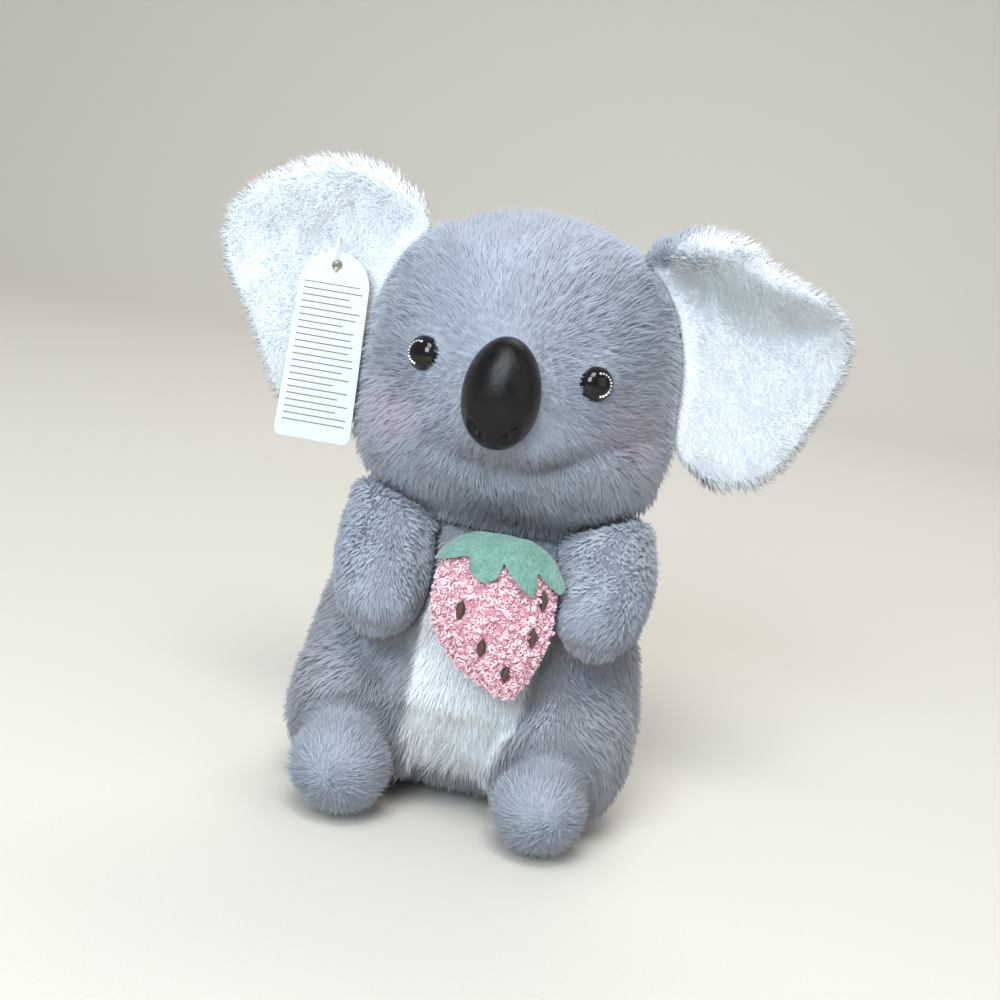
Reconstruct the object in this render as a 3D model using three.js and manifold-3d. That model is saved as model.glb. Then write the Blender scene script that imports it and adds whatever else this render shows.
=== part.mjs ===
// A sitting plush koala that hugs a stuffed strawberry, with a blank card tag at its right ear.
// Millimetres, +Z up. The koala faces -Y, so its own right side is at -X. Every fur-covered solid
// reaches out to the tips of its pile. Sewn neighbours keep a hair of clearance, so none overlap.
import * as THREE from 'three';
import { mergeVertices } from 'three/addons/utils/BufferGeometryUtils.js';
import Module from 'manifold-3d';

const wasm = await Module();
wasm.setup();

// ---- driving dimensions -------------------------------------------------------------------------

const GAP = 0.3; // clearance between neighbouring pieces
const SLIVER = 0.06; // faces narrower than this, left where one piece is cut by another, are merged away
const FLOOR_Z = 0;

const HEAD = {
  centre: [0.5, -2, 172],
  half: [62.5, 55, 61],
  crown: 0.945, // width factor above the cheeks
  crownSquareness: 2.15, // 2 is an ellipse; more gives a broader top
  jowl: 0.68, // how much the lower half swells sideways
  chin: 0.2, // how much the lower half swells forwards
  muzzle: { at: [0, -57, 163], reach: 25, rise: 4.5 },
};
const TRUNK = {
  centre: [0, 4, 58],
  half: [67, 45, 66],
  squareness: 2.6,
  taper: 12, // the half width lost from the middle to the top
  frontLift: { rise: 32, from: 18, to: -45 }, // how the underside rises towards the front
};
const RIGHT_LEG = { thigh: [-40.5, -14, 35], thighHalf: [28.3, 34, 36], foot: [-38.5, -45, 20.9], footHalf: 21.2 };
const LEFT_LEG = { thigh: [40.5, -14, 35], thighHalf: [28.3, 34, 36], foot: [37.5, -46, 19.5], footHalf: 19.8 };
const RIGHT_ARM = { shoulder: [-38, -8, 112], paw: [-33, -40, 88.5], radius: 19.5, elbow: [-2, 0, 0] };
const LEFT_ARM = { shoulder: [45, -8, 113], paw: [45.5, -40, 94], radius: 19, elbow: [1.5, 0, 0] };
const BIB = { bottom: 22, shoulder: 78, top: 101, lowHalfWidth: 15, highHalfWidth: 22, lean: 0.09, depth: 6 };

const NOSE = { centre: [0, -57, 170.3], half: [13.1, 12.5, 19.4], eggness: 0.13 };
const NOSTRIL = { offset: [5.9, -13.2], half: [1.2, 2.4, 2.7], lean: 0.7 };
const EYE = { x: 32.3, z: 177.9, radius: 6.1, dome: 4.4, skirt: 1.6, sunk: 3.6, pocket: 1.5 };

// The outline radius of an ear is a base radius plus harmonics; angles run from straight outwards.
const RIGHT_EAR = {
  side: -1,
  centre: [81, 3, 192],
  radius: 42.6,
  oval: { rise: 7.4, at: 1.44 },
  lobe: { rise: 5.4, at: 0.23 },
  rootFlare: 7,
  rimCurl: 6,
  topFold: 3,
};
const LEFT_EAR = {
  side: 1,
  centre: [79, 3, 191.5],
  radius: 41.7,
  oval: { rise: 5.75, at: -1.04 },
  lobe: { rise: 5.2, at: 0.41 },
  rootFlare: 2,
  rimCurl: 6,
  topFold: 12,
};
const EAR = { front: 7.5, back: 6.5 }; // thickness either side of the seam, with its pile

const BERRY = {
  centre: [8.9, -53, 91.5],
  half: [22.7, 12.5, 31],
  crown: 0.87, // how tall the upper half is beside the lower
  recline: 0.1,
  crownSquareness: 3, // 2 is an ellipse; more gives broader shoulders
  point: 0.38, // how much the lower half narrows
  bend: 9.2, // how far the tip swings towards the koala's left
};
const CALYX = { thickness: 1.2, clearance: 0.5, hem: 19.3 };
// The leaves that hang from the hem of the calyx, in the berry's own upright frame.
const LEAVES = [
  { root: -17, halfWidth: 7, tip: [-25, 14.4], bulge: 0.3 },
  { root: -4.1, halfWidth: 6.1, tip: [-3.2, 11.6], bulge: 1.6 },
  { root: 7.7, halfWidth: 5.9, tip: [13.2, 9.3], bulge: 0.7 },
  { root: 19, halfWidth: 5.9, tip: [22.2, 11], bulge: 0.8 },
];
const SEED = { half: [1.35, 3.7], top: 0.7, bottom: 2.4 };
const SEED_PLACES = [
  [-10, 0.4],
  [-0.5, -11.4],
  [16.2, -5.3],
  [17.4, 8.2],
  [9.2, -19.6],
];

const TAG = {
  top: [-74.3, -8.7, 204.9],
  topWidth: 27,
  bottomWidth: 29.6,
  height: 71.4,
  thickness: 0.6,
  corner: 3,
  hole: { radius: 2, below: 5.2 },
  lean: 0.012,
  tip: 0.1,
};
const FASTENER = { ring: 4.4, wire: 0.65 };

// How finely each kind of body is faceted: the frequency of its sphere, or the steps of its lathe.
const FACETS = { head: 5, trunk: 4, thigh: 3, foot: 3, arm: 3, nose: 3, berry: 4, ear: 24, disc: 14, ring: 16 };

// ---- helpers ------------------------------------------------------------------------------------

const smoothstep = THREE.MathUtils.smoothstep;

// The geometry with positions only, shared vertices merged, no collapsed faces, and facing outwards.
function bare(geometry) {
  const plain = geometry.clone();
  plain.deleteAttribute('normal');
  plain.deleteAttribute('uv');
  const merged = mergeVertices(plain, 1e-3);
  const index = merged.index.array;
  const at = merged.getAttribute('position');
  const [a, b, c] = [0, 1, 2].map(() => new THREE.Vector3());
  const kept = [];
  let volume = 0;
  for (let i = 0; i < index.length; i += 3) {
    const [p, q, r] = [index[i], index[i + 1], index[i + 2]];
    if (p === q || q === r || r === p) continue;
    kept.push(p, q, r);
    a.fromBufferAttribute(at, p);
    b.fromBufferAttribute(at, q);
    c.fromBufferAttribute(at, r);
    volume += a.dot(b.cross(c));
  }
  if (volume < 0) for (let i = 0; i < kept.length; i += 3) [kept[i + 1], kept[i + 2]] = [kept[i + 2], kept[i + 1]];
  merged.setIndex(kept);
  return merged;
}

// Moves every vertex of a geometry to place(vertex).
function reshaped(geometry, place) {
  const at = geometry.getAttribute('position');
  const point = new THREE.Vector3();
  for (let i = 0; i < at.count; i += 1) {
    point.fromBufferAttribute(at, i);
    at.setXYZ(i, ...place(point));
  }
  return bare(geometry);
}

// A closed body whose surface is place(direction) for the directions of a faceted sphere.
function blob(detail, place) {
  return reshaped(new THREE.IcosahedronGeometry(1, detail), (d) => place(d.normalize()));
}

// How much wider a superellipse of power n is than an ellipse, at height z of -1 to 1.
function squared(z, n) {
  const round = Math.sqrt(Math.max(1e-6, 1 - z * z));
  return Math.max(0, 1 - Math.abs(z) ** n) ** (1 / n) / round;
}

const ellipsoid = (detail, centre, half) =>
  blob(detail, (d) => [centre[0] + half[0] * d.x, centre[1] + half[1] * d.y, centre[2] + half[2] * d.z]);

// The same closed surface pushed outwards along its normals, or inwards where by is negative.
function grown(geometry, by) {
  const copy = geometry.clone();
  copy.computeVertexNormals();
  const at = copy.getAttribute('position');
  const normal = copy.getAttribute('normal');
  for (let i = 0; i < at.count; i += 1) {
    at.setXYZ(i, at.getX(i) + by * normal.getX(i), at.getY(i) + by * normal.getY(i), at.getZ(i) + by * normal.getZ(i));
  }
  return bare(copy);
}

function toSolid(geometry) {
  const closed = bare(geometry);
  const vertProperties = new Float32Array(closed.getAttribute('position').array);
  return new wasm.Manifold(new wasm.Mesh({ numProp: 3, vertProperties, triVerts: new Uint32Array(closed.index.array) }));
}

function toGeometry(solid) {
  const { vertProperties, triVerts } = solid.getMesh();
  const geometry = new THREE.BufferGeometry();
  geometry.setAttribute('position', new THREE.BufferAttribute(new Float32Array(vertProperties), 3));
  geometry.setIndex(new THREE.BufferAttribute(new Uint32Array(triVerts), 1));
  return geometry;
}

const without = (solid, ...tools) => tools.reduce((left, tool) => left.subtract(tool), solid);
const clearOf = (geometry) => toSolid(grown(geometry, GAP));

// A named mesh whose own origin is at pivot.
function piece(name, solid, material, pivot = [0, 0, 0]) {
  const geometry = toGeometry(solid.simplify(SLIVER)).translate(-pivot[0], -pivot[1], -pivot[2]);
  geometry.computeVertexNormals();
  const made = new THREE.Mesh(geometry, material);
  made.name = name;
  made.position.set(...pivot);
  return made;
}

function group(...children) {
  const made = new THREE.Group();
  made.add(...children);
  return made;
}

const cloth = (color) => new THREE.MeshStandardMaterial({ color, roughness: 0.95, metalness: 0 });
const plastic = (color, roughness) => new THREE.MeshStandardMaterial({ color, roughness, metalness: 0 });

const MATERIALS = {
  greyPlush: cloth('#9fa3af'),
  whitePlush: cloth('#e6ebee'),
  pinkPile: cloth('#e6a7b4'),
  greenFelt: cloth('#63ae8e'),
  brownThread: cloth('#4a2c22'),
  noseBlack: plastic('#17161a', 0.32),
  eyeBlack: plastic('#0c0b0c', 0.08),
  card: plastic('#f4f4f2', 0.45),
  clearNylon: plastic('#e7dfd0', 0.3),
};

// ---- head ---------------------------------------------------------------------------------------

function headShape() {
  const [cx, cy, cz] = HEAD.centre;
  const muzzleAt = new THREE.Vector3(...HEAD.muzzle.at);
  return blob(FACETS.head, (d) => {
    const low = Math.max(0, -d.z) ** 2;
    const broad = d.z > 0 ? squared(d.z, HEAD.crownSquareness) : 1;
    const point = new THREE.Vector3(
      cx + HEAD.half[0] * d.x * broad * (HEAD.crown + HEAD.jowl * low),
      cy + HEAD.half[1] * d.y * (HEAD.crown + (d.y < 0 ? HEAD.chin : HEAD.jowl / 4) * low),
      cz + HEAD.half[2] * d.z,
    );
    const near = point.distanceTo(muzzleAt) / HEAD.muzzle.reach;
    return point.addScaledVector(d, HEAD.muzzle.rise * Math.exp(-near * near)).toArray();
  });
}

function noseShape() {
  const [cx, cy, cz] = NOSE.centre;
  const [hx, hy, hz] = NOSE.half;
  return blob(FACETS.nose, (d) => [cx + hx * d.x * (1 - NOSE.eggness * d.z), cy + hy * d.y, cz + hz * d.z]);
}

function nostril(side) {
  const [x, z] = NOSTRIL.offset;
  const dent = ellipsoid(1, [0, 0, 0], NOSTRIL.half);
  dent.rotateY(side * NOSTRIL.lean);
  // The dents lie on the lower front of the egg, so their depth follows its surface there.
  const share = 1 - (x / NOSE.half[0]) ** 2 - (z / NOSE.half[2]) ** 2;
  const depth = NOSE.half[1] * Math.sqrt(share);
  return toSolid(dent.translate(NOSE.centre[0] + side * x, NOSE.centre[1] - depth, NOSE.centre[2] + z));
}

// Where an eye sits: its matrix puts the dome's back at its own origin, with +Y out of the face.
function eyeMatrix(side, headSolidGeometry) {
  const origin = new THREE.Vector3(side * EYE.x, HEAD.centre[1], EYE.z);
  const caster = new THREE.Raycaster(origin, new THREE.Vector3(0, -1, 0));
  const target = new THREE.Mesh(headSolidGeometry, new THREE.MeshBasicMaterial({ side: THREE.DoubleSide }));
  const [hit] = caster.intersectObject(target);
  const outwards = new THREE.Vector3(
    hit.point.x / HEAD.half[0] ** 2,
    (hit.point.y - HEAD.centre[1]) / HEAD.half[1] ** 2,
    (hit.point.z - HEAD.centre[2]) / HEAD.half[2] ** 2,
  ).normalize();
  const turn = new THREE.Quaternion().setFromUnitVectors(new THREE.Vector3(0, 1, 0), outwards);
  const place = hit.point.clone().addScaledVector(outwards, -EYE.sunk);
  return new THREE.Matrix4().compose(place, turn, new THREE.Vector3(1, 1, 1));
}

// A domed disc with a straight skirt, turned about its own +Y.
function domedDisc(radius, skirt, dome, steps) {
  const profile = [new THREE.Vector2(0, 0), new THREE.Vector2(radius, 0)];
  for (let i = 0; i <= steps; i += 1) {
    const angle = (i / steps) * (Math.PI / 2);
    profile.push(new THREE.Vector2(radius * Math.cos(angle), skirt + dome * Math.sin(angle)));
  }
  return new THREE.LatheGeometry(profile, FACETS.disc);
}

function eye(side, matrix) {
  const local = toSolid(domedDisc(EYE.radius, EYE.skirt, EYE.dome, 4));
  const made = piece(side < 0 ? 'eye_right' : 'eye_left', local, MATERIALS.eyeBlack);
  made.applyMatrix4(matrix);
  return made;
}

// The fur stands back from an eye in a shallow pocket that opens outwards.
function eyePocket(matrix) {
  const wide = EYE.radius + EYE.pocket;
  const profile = [
    new THREE.Vector2(0, -GAP),
    new THREE.Vector2(EYE.radius + GAP, -GAP),
    new THREE.Vector2(EYE.radius + GAP, EYE.skirt),
    new THREE.Vector2(wide, EYE.sunk + 2),
    new THREE.Vector2(0, EYE.sunk + 2),
  ];
  return toSolid(new THREE.LatheGeometry(profile, FACETS.disc).applyMatrix4(matrix));
}

// ---- ears ---------------------------------------------------------------------------------------

// The height of the ear's middle surface towards the front, from the share of the radius and angle.
function earCurl(ear, share, angle) {
  const up = share * Math.sin(angle);
  const inner = share * Math.cos(angle);
  const pinch = 5 * smoothstep(-inner, 0.25, 0.95) * (1 - Math.abs(up));
  return ear.rimCurl * share * share + ear.topFold * smoothstep(up, 0.32, 0.8) - pinch;
}

// One sewn panel of an ear, from the middle surface out to the tips of its pile.
function earPanel(ear, thickness) {
  const steps = 5;
  const toward = Math.sign(thickness);
  const profile = [];
  for (let i = 0; i <= steps; i += 1) {
    const angle = (i / steps) * (Math.PI / 2);
    profile.push(new THREE.Vector2(Math.sin(angle), thickness * Math.cos(angle) + toward * GAP * 1.5));
  }
  profile.push(new THREE.Vector2(0.55, (toward * GAP) / 2), new THREE.Vector2(0, (toward * GAP) / 2));
  const [cx, cy, cz] = ear.centre;
  return reshaped(new THREE.LatheGeometry(profile, FACETS.ear), (p) => {
    const share = Math.hypot(p.x, p.z);
    const angle = Math.atan2(p.z, p.x);
    const oval = ear.oval.rise * Math.cos(2 * (angle - ear.oval.at));
    const lobe = ear.lobe.rise * Math.cos(3 * (angle - ear.lobe.at));
    const root = ear.rootFlare * smoothstep(-Math.cos(angle), 0.4, 0.9);
    const reach = share * (ear.radius + oval + lobe + root);
    const forwards = p.y + earCurl(ear, share, angle);
    return [ear.side * (cx + reach * Math.cos(angle)), cy - forwards, cz + reach * Math.sin(angle)];
  });
}

// ---- body ---------------------------------------------------------------------------------------

function trunkShape() {
  const [cx, cy, cz] = TRUNK.centre;
  const [hx, hy, hz] = TRUNK.half;
  const { rise, from, to } = TRUNK.frontLift;
  return blob(FACETS.trunk, (d) => {
    const full = squared(d.z, TRUNK.squareness);
    const x = cx + d.x * full * (hx - TRUNK.taper * d.z);
    const y = cy + d.y * full * (hy - (TRUNK.taper * d.z * hy) / hx);
    const lift = rise * smoothstep(-d.z, 0.05, 0.75) * smoothstep(-y, -from, -to);
    return [x, y, cz + hz * d.z + lift];
  });
}

// A stuffed limb from shoulder to paw, round at both ends and bowed out at the elbow.
function armShape({ shoulder, paw, radius, elbow }) {
  const from = new THREE.Vector3(...shoulder);
  const to = new THREE.Vector3(...paw);
  const middle = from.clone().add(to).multiplyScalar(0.5);
  const halfAxis = to.clone().sub(from).multiplyScalar(0.5);
  const along = halfAxis.clone().normalize();
  const bow = new THREE.Vector3(...elbow);
  return blob(FACETS.arm, (d) => {
    const t = d.dot(along);
    const slid = t * (1.5 - 0.5 * t * t);
    return middle
      .clone()
      .addScaledVector(halfAxis, slid)
      .addScaledVector(d, radius)
      .addScaledVector(bow, 1 - t * t)
      .toArray();
  });
}

// The outline of the white belly panel, as a prism that runs front to back through the trunk.
function bibPrism(growth) {
  const low = BIB.lowHalfWidth + growth;
  const high = BIB.highHalfWidth + growth;
  const shape = new THREE.Shape();
  shape.moveTo(-low, BIB.bottom - growth);
  shape.lineTo(low, BIB.bottom - growth);
  shape.quadraticCurveTo(high, (BIB.bottom + BIB.shoulder) / 2, high, BIB.shoulder);
  shape.quadraticCurveTo(high, BIB.top + growth, 0, BIB.top + growth);
  shape.quadraticCurveTo(-high, BIB.top + growth, -high, BIB.shoulder);
  shape.quadraticCurveTo(-high, (BIB.bottom + BIB.shoulder) / 2, -low, BIB.bottom - growth);
  const prism = new THREE.ExtrudeGeometry(shape, { depth: 70, bevelEnabled: false, curveSegments: 6 });
  prism.translate(0, -BIB.bottom, 0).rotateZ(-BIB.lean).translate(0, BIB.bottom, 0);
  return prism.rotateX(Math.PI / 2);
}

// ---- strawberry ---------------------------------------------------------------------------------

const BERRY_TURN = new THREE.Matrix4()
  .makeTranslation(...BERRY.centre)
  .multiply(new THREE.Matrix4().makeRotationX(-BERRY.recline));

// The berry in its own upright frame: broad shoulders, a blunt point below, flattened front to back.
function berryShape(growth) {
  const [hx, hy, hz] = BERRY.half;
  const shape = blob(FACETS.berry, (d) => {
    const low = Math.max(0, -d.z);
    const broad = d.z > 0 ? squared(d.z, BERRY.crownSquareness) : 1 - BERRY.point * low ** 2.1;
    return [hx * d.x * broad + BERRY.bend * low * low, hy * d.y * (1 - 0.2 * low), hz * d.z * (d.z > 0 ? BERRY.crown : 1)];
  });
  return grown(shape, growth);
}

// A leaf that hangs from the calyx's hem, as a prism through the berry's front half.
function leafPrism({ root, halfWidth, tip, bulge }) {
  const base = CALYX.hem + 1;
  const middle = (base + tip[1]) / 2;
  const shape = new THREE.Shape();
  shape.moveTo(root - halfWidth, base);
  shape.quadraticCurveTo((root - halfWidth + tip[0]) / 2 - bulge * 2, middle - bulge * 2, tip[0], tip[1]);
  shape.quadraticCurveTo((root + halfWidth + tip[0]) / 2 + bulge * 2, middle - bulge * 2, root + halfWidth, base);
  return frontPrism(shape);
}

// A prism on an outline in X and Z, from the berry's middle plane out through its front.
function frontPrism(shape) {
  const prism = new THREE.ExtrudeGeometry(shape, { depth: 40, bevelEnabled: false, curveSegments: 5 });
  return toSolid(prism.rotateX(Math.PI / 2));
}

function calyxShape() {
  const cap = toSolid(new THREE.BoxGeometry(80, 40, 40).translate(0, -20, CALYX.hem + 20));
  const outline = LEAVES.reduce((joined, leaf) => joined.add(leafPrism(leaf)), cap);
  const outer = toSolid(berryShape(CALYX.clearance + CALYX.thickness));
  return outer.subtract(toSolid(berryShape(CALYX.clearance))).intersect(outline);
}

// A pointed oval prism at one seed's place.
function seedPrism([x, z], growth) {
  const [hx, hz] = [SEED.half[0] + growth, SEED.half[1] + growth];
  const shape = new THREE.Shape();
  shape.moveTo(x, z - hz);
  shape.quadraticCurveTo(x + 2 * hx, z, x, z + hz);
  shape.quadraticCurveTo(x - 2 * hx, z, x, z - hz);
  return frontPrism(shape);
}

function seedShape(place) {
  const band = toSolid(berryShape(-SEED.top)).subtract(toSolid(berryShape(-SEED.bottom)));
  return band.intersect(seedPrism(place, 0));
}

// ---- tag ----------------------------------------------------------------------------------------

// A card with a round top and small lower corners, its top edge at the origin, facing -Y.
function tagShape() {
  const [top, bottom] = [TAG.topWidth / 2, TAG.bottomWidth / 2];
  const shape = new THREE.Shape();
  shape.moveTo(top, -top);
  shape.absarc(0, -top, top, 0, Math.PI, false);
  shape.lineTo(-bottom, TAG.corner - TAG.height);
  shape.absarc(TAG.corner - bottom, TAG.corner - TAG.height, TAG.corner, Math.PI, 1.5 * Math.PI, false);
  shape.absarc(bottom - TAG.corner, TAG.corner - TAG.height, TAG.corner, 1.5 * Math.PI, 2 * Math.PI, false);
  shape.lineTo(top, -top);
  const hole = new THREE.Path();
  hole.absarc(0, -TAG.hole.below, TAG.hole.radius, 0, 2 * Math.PI, true);
  shape.holes.push(hole);
  const card = new THREE.ExtrudeGeometry(shape, { depth: TAG.thickness, bevelEnabled: false, curveSegments: 6 });
  return card.rotateX(Math.PI / 2);
}

const TAG_TURN = new THREE.Matrix4()
  .makeTranslation(...TAG.top)
  .multiply(new THREE.Matrix4().makeRotationY(-TAG.lean))
  .multiply(new THREE.Matrix4().makeRotationX(-TAG.tip));

// A ring of nylon that threads the tag's hole and runs back into the ear.
function fastenerShape() {
  const ring = new THREE.TorusGeometry(FASTENER.ring, FASTENER.wire, 6, FACETS.ring).rotateY(Math.PI / 2);
  const hole = new THREE.Vector3(0, 0, -TAG.hole.below).applyMatrix4(TAG_TURN);
  const slack = TAG.hole.radius - FASTENER.wire - GAP;
  return ring.translate(hole.x, hole.y, hole.z + FASTENER.ring + slack);
}

// ---- assembly -----------------------------------------------------------------------------------

const head = headShape();
const nose = noseShape();
const eyeMatrices = { left: eyeMatrix(1, head), right: eyeMatrix(-1, head) };
const trunk = trunkShape();
const thighShape = ({ thigh, thighHalf }) => ellipsoid(FACETS.thigh, thigh, thighHalf);
const footShape = ({ foot, footHalf }) => ellipsoid(FACETS.foot, foot, [footHalf, footHalf, footHalf]);
const thighs = { left: thighShape(LEFT_LEG), right: thighShape(RIGHT_LEG) };
const feet = { left: footShape(LEFT_LEG), right: footShape(RIGHT_LEG) };
const arms = { left: armShape(LEFT_ARM), right: armShape(RIGHT_ARM) };
const berry = berryShape(0).applyMatrix4(BERRY_TURN);

const underFloor = toSolid(new THREE.BoxGeometry(400, 400, 40).translate(0, 0, FLOOR_Z - 20));
const clear = {
  head: clearOf(head),
  berry: clearOf(berry),
  thighs: [clearOf(thighs.left), clearOf(thighs.right)],
  feet: [clearOf(feet.left), clearOf(feet.right)],
  arms: [clearOf(arms.left), clearOf(arms.right)],
};
const limbs = [...clear.thighs, ...clear.feet, ...clear.arms];
const calyx = calyxShape().transform(BERRY_TURN.elements);
const clearCalyx = toSolid(grown(toGeometry(calyx), GAP));

const bibOuter = toSolid(trunk).intersect(toSolid(bibPrism(0)));
const bib = without(bibOuter, toSolid(grown(trunk, -BIB.depth)), ...limbs, clear.head, clear.berry, underFloor);
const bibRoom = toSolid(bibPrism(GAP)).subtract(toSolid(grown(trunk, -BIB.depth - GAP)));
const trunkSolid = without(toSolid(trunk), bibRoom, ...limbs, clear.head, clear.berry, underFloor);

function largest(solid) {
  return solid.decompose().reduce((best, body) => (body.volume() > best.volume() ? body : best));
}

const headSolid = without(
  toSolid(head),
  clearOf(nose),
  eyePocket(eyeMatrices.left),
  eyePocket(eyeMatrices.right),
);
const noseSolid = without(toSolid(nose), nostril(-1), nostril(1));

function earPieces(ear, name) {
  const pivot = [ear.side * ear.centre[0], ear.centre[1], ear.centre[2]];
  const panel = (thickness) => largest(toSolid(earPanel(ear, thickness)).subtract(clear.head));
  return [
    piece(`${name}_inner`, panel(EAR.front), MATERIALS.whitePlush, pivot),
    piece(`${name}_outer`, panel(-EAR.back), MATERIALS.greyPlush, pivot),
  ];
}

function armPiece(name, shape, otherArm, { shoulder }) {
  const solid = without(toSolid(shape), clear.head, clear.berry, clearCalyx, otherArm);
  return piece(name, largest(solid), MATERIALS.greyPlush, shoulder);
}

const legPiece = (name, shape, footRoom, pivot) =>
  piece(name, without(toSolid(shape), footRoom, underFloor), MATERIALS.greyPlush, pivot);
const footPiece = (name, shape, pivot) =>
  piece(name, without(toSolid(shape), underFloor), MATERIALS.greyPlush, pivot);

const headGroup = group(
  piece('head', headSolid, MATERIALS.greyPlush, HEAD.centre),
  piece('nose', noseSolid, MATERIALS.noseBlack, NOSE.centre),
  eye(-1, eyeMatrices.right),
  eye(1, eyeMatrices.left),
  ...earPieces(RIGHT_EAR, 'ear_right'),
  ...earPieces(LEFT_EAR, 'ear_left'),
);

const bodyGroup = group(
  piece('trunk', largest(trunkSolid), MATERIALS.greyPlush, TRUNK.centre),
  piece('belly', largest(bib), MATERIALS.whitePlush, TRUNK.centre),
  armPiece('arm_right', arms.right, clear.arms[0], RIGHT_ARM),
  armPiece('arm_left', arms.left, clear.arms[1], LEFT_ARM),
  legPiece('leg_right', thighs.right, clear.feet[1], RIGHT_LEG.thigh),
  legPiece('leg_left', thighs.left, clear.feet[0], LEFT_LEG.thigh),
  footPiece('foot_right', feet.right, RIGHT_LEG.foot),
  footPiece('foot_left', feet.left, LEFT_LEG.foot),
);

const seedRooms = SEED_PLACES.map((place) =>
  seedPrism(place, GAP).subtract(toSolid(berryShape(-SEED.bottom - GAP))).transform(BERRY_TURN.elements),
);
const berryGroup = group(
  piece('strawberry', without(toSolid(berry), ...seedRooms), MATERIALS.pinkPile, BERRY.centre),
  piece('strawberry_calyx', largest(calyx), MATERIALS.greenFelt, BERRY.centre),
  ...SEED_PLACES.map((place, i) => {
    const seed = largest(seedShape(place).transform(BERRY_TURN.elements));
    return piece(`strawberry_seed_${i + 1}`, seed, MATERIALS.brownThread, BERRY.centre);
  }),
);

const rightEarFront = clearOf(earPanel(RIGHT_EAR, EAR.front));
const tagGroup = group(
  piece('tag', toSolid(tagShape().applyMatrix4(TAG_TURN)), MATERIALS.card, TAG.top),
  piece('tag_fastener', largest(toSolid(fastenerShape()).subtract(rightEarFront)), MATERIALS.clearNylon, TAG.top),
);

const koala = group(headGroup, bodyGroup, berryGroup, tagGroup);
koala.name = 'plush_koala';

// The part's origin is at the middle of its footprint box, on the floor.
const extent = new THREE.Box3().setFromObject(koala, true);
const middle = extent.getCenter(new THREE.Vector3());
koala.children.forEach((child) => child.position.set(-middle.x, -middle.y, -extent.min.z));

export default koala;
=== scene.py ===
"""Dresses the plush koala toy: sewn skins, pile, face, strawberry, hang tag, stage, light and camera.

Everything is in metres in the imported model's frame: +Z up, the koala faces -Y, its own left side is +X.
Sizes that read better in millimetres are written as a number times MM.
"""

import sys

import logging
import math
from dataclasses import dataclass, field
from enum import Enum, IntEnum
from typing import Iterable, Sequence

import bmesh
import bpy
import numpy as np
from mathutils import Matrix, Vector
from mathutils.bvhtree import BVHTree


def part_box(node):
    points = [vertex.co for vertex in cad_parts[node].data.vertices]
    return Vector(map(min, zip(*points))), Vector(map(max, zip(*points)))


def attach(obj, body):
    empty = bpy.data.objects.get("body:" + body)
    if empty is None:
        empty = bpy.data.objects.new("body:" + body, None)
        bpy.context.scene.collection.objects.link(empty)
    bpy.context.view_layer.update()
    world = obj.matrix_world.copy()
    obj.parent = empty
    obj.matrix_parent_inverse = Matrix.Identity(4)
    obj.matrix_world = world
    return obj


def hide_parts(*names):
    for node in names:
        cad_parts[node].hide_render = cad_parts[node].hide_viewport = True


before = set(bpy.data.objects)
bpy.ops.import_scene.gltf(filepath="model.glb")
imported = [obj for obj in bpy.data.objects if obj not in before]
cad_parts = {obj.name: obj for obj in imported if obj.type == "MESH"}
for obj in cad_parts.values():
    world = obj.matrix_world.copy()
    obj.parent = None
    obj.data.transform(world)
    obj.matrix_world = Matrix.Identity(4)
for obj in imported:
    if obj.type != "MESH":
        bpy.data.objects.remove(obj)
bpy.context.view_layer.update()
LOG = logging.getLogger("plush_koala")
MM = 0.001
BODY = "root"
BAKE_MAP = "OFBake"
BAKE_PATCH = 0.003
MOST_TRIANGLES = 190_000
NOTHING_BEHIND = 0.2  # the thickness where a ray hits nothing
RAY_START = 0.1  # millimetres inside the cloth
SPRING_BACK = 1.04  # how much further a smoothed cloth is let out than drawn together

Array = np.ndarray
Colour = tuple[float, float, float]
Reach = tuple[float, float]
Triple = tuple[float, float, float]
Material = bpy.types.Material
Mesh = bpy.types.Mesh
Node = bpy.types.Node
Object = bpy.types.Object
Socket = bpy.types.NodeSocket


# ---- small mathematics ----


class Pattern(IntEnum):
    """The patterns of chance that drifts and locks are drawn from."""

    SWIRL = 11
    WIDE_SWIRL = 12
    TILT = 13
    LOCKS = 14
    CLOUDS = 15
    SPECKS = 16
    LIPS = 33
    MOUTH_SHADE = 34
    FELT_RIPPLE = 41
    POMPOM = 51


CLOUD_SIZE = 9.0 * MM


def unit(vectors: Array) -> Array:
    """Rows of vectors at length one."""
    return vectors / np.maximum(np.linalg.norm(vectors, axis=-1, keepdims=True), 1e-12)


def smoothstep(values: Array, low: float, high: float) -> Array:
    """0 up to low, 1 from high, smooth between."""
    t = np.clip((values - low) / (high - low), 0.0, 1.0)
    return t * t * (3.0 - 2.0 * t)


def along(direction: Sequence[float], count: int) -> Array:
    """The same direction on every one of count rows."""
    return np.tile(np.asarray(direction, float), (count, 1))


def dimmed(colour: Colour, share: float) -> Colour:
    """The colour at that share of its brightness."""
    return tuple(share * part for part in colour)


def hashed(cells: Array, seed: int) -> Array:
    """Three even random numbers from 0 to 1 for every lattice cell.

    Args:
        cells: whole numbers, shaped (..., 3).
        seed: picks the pattern.

    Returns:
        Numbers shaped (..., 3).
    """
    key = cells.astype(np.int64) @ np.array([73856093, 19349663, 83492791], np.int64) + seed * 2654435761
    numbers = []
    for turn in range(3):
        mixed = (key + turn * 668265263) & 0xFFFFFFFF
        mixed = ((mixed ^ (mixed >> 15)) * 2246822519) & 0xFFFFFFFF
        mixed = ((mixed ^ (mixed >> 13)) * 3266489917) & 0xFFFFFFFF
        numbers.append(((mixed ^ (mixed >> 16)) & 0xFFFFFFFF) / 0xFFFFFFFF)
    return np.stack(numbers, -1)


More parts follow.
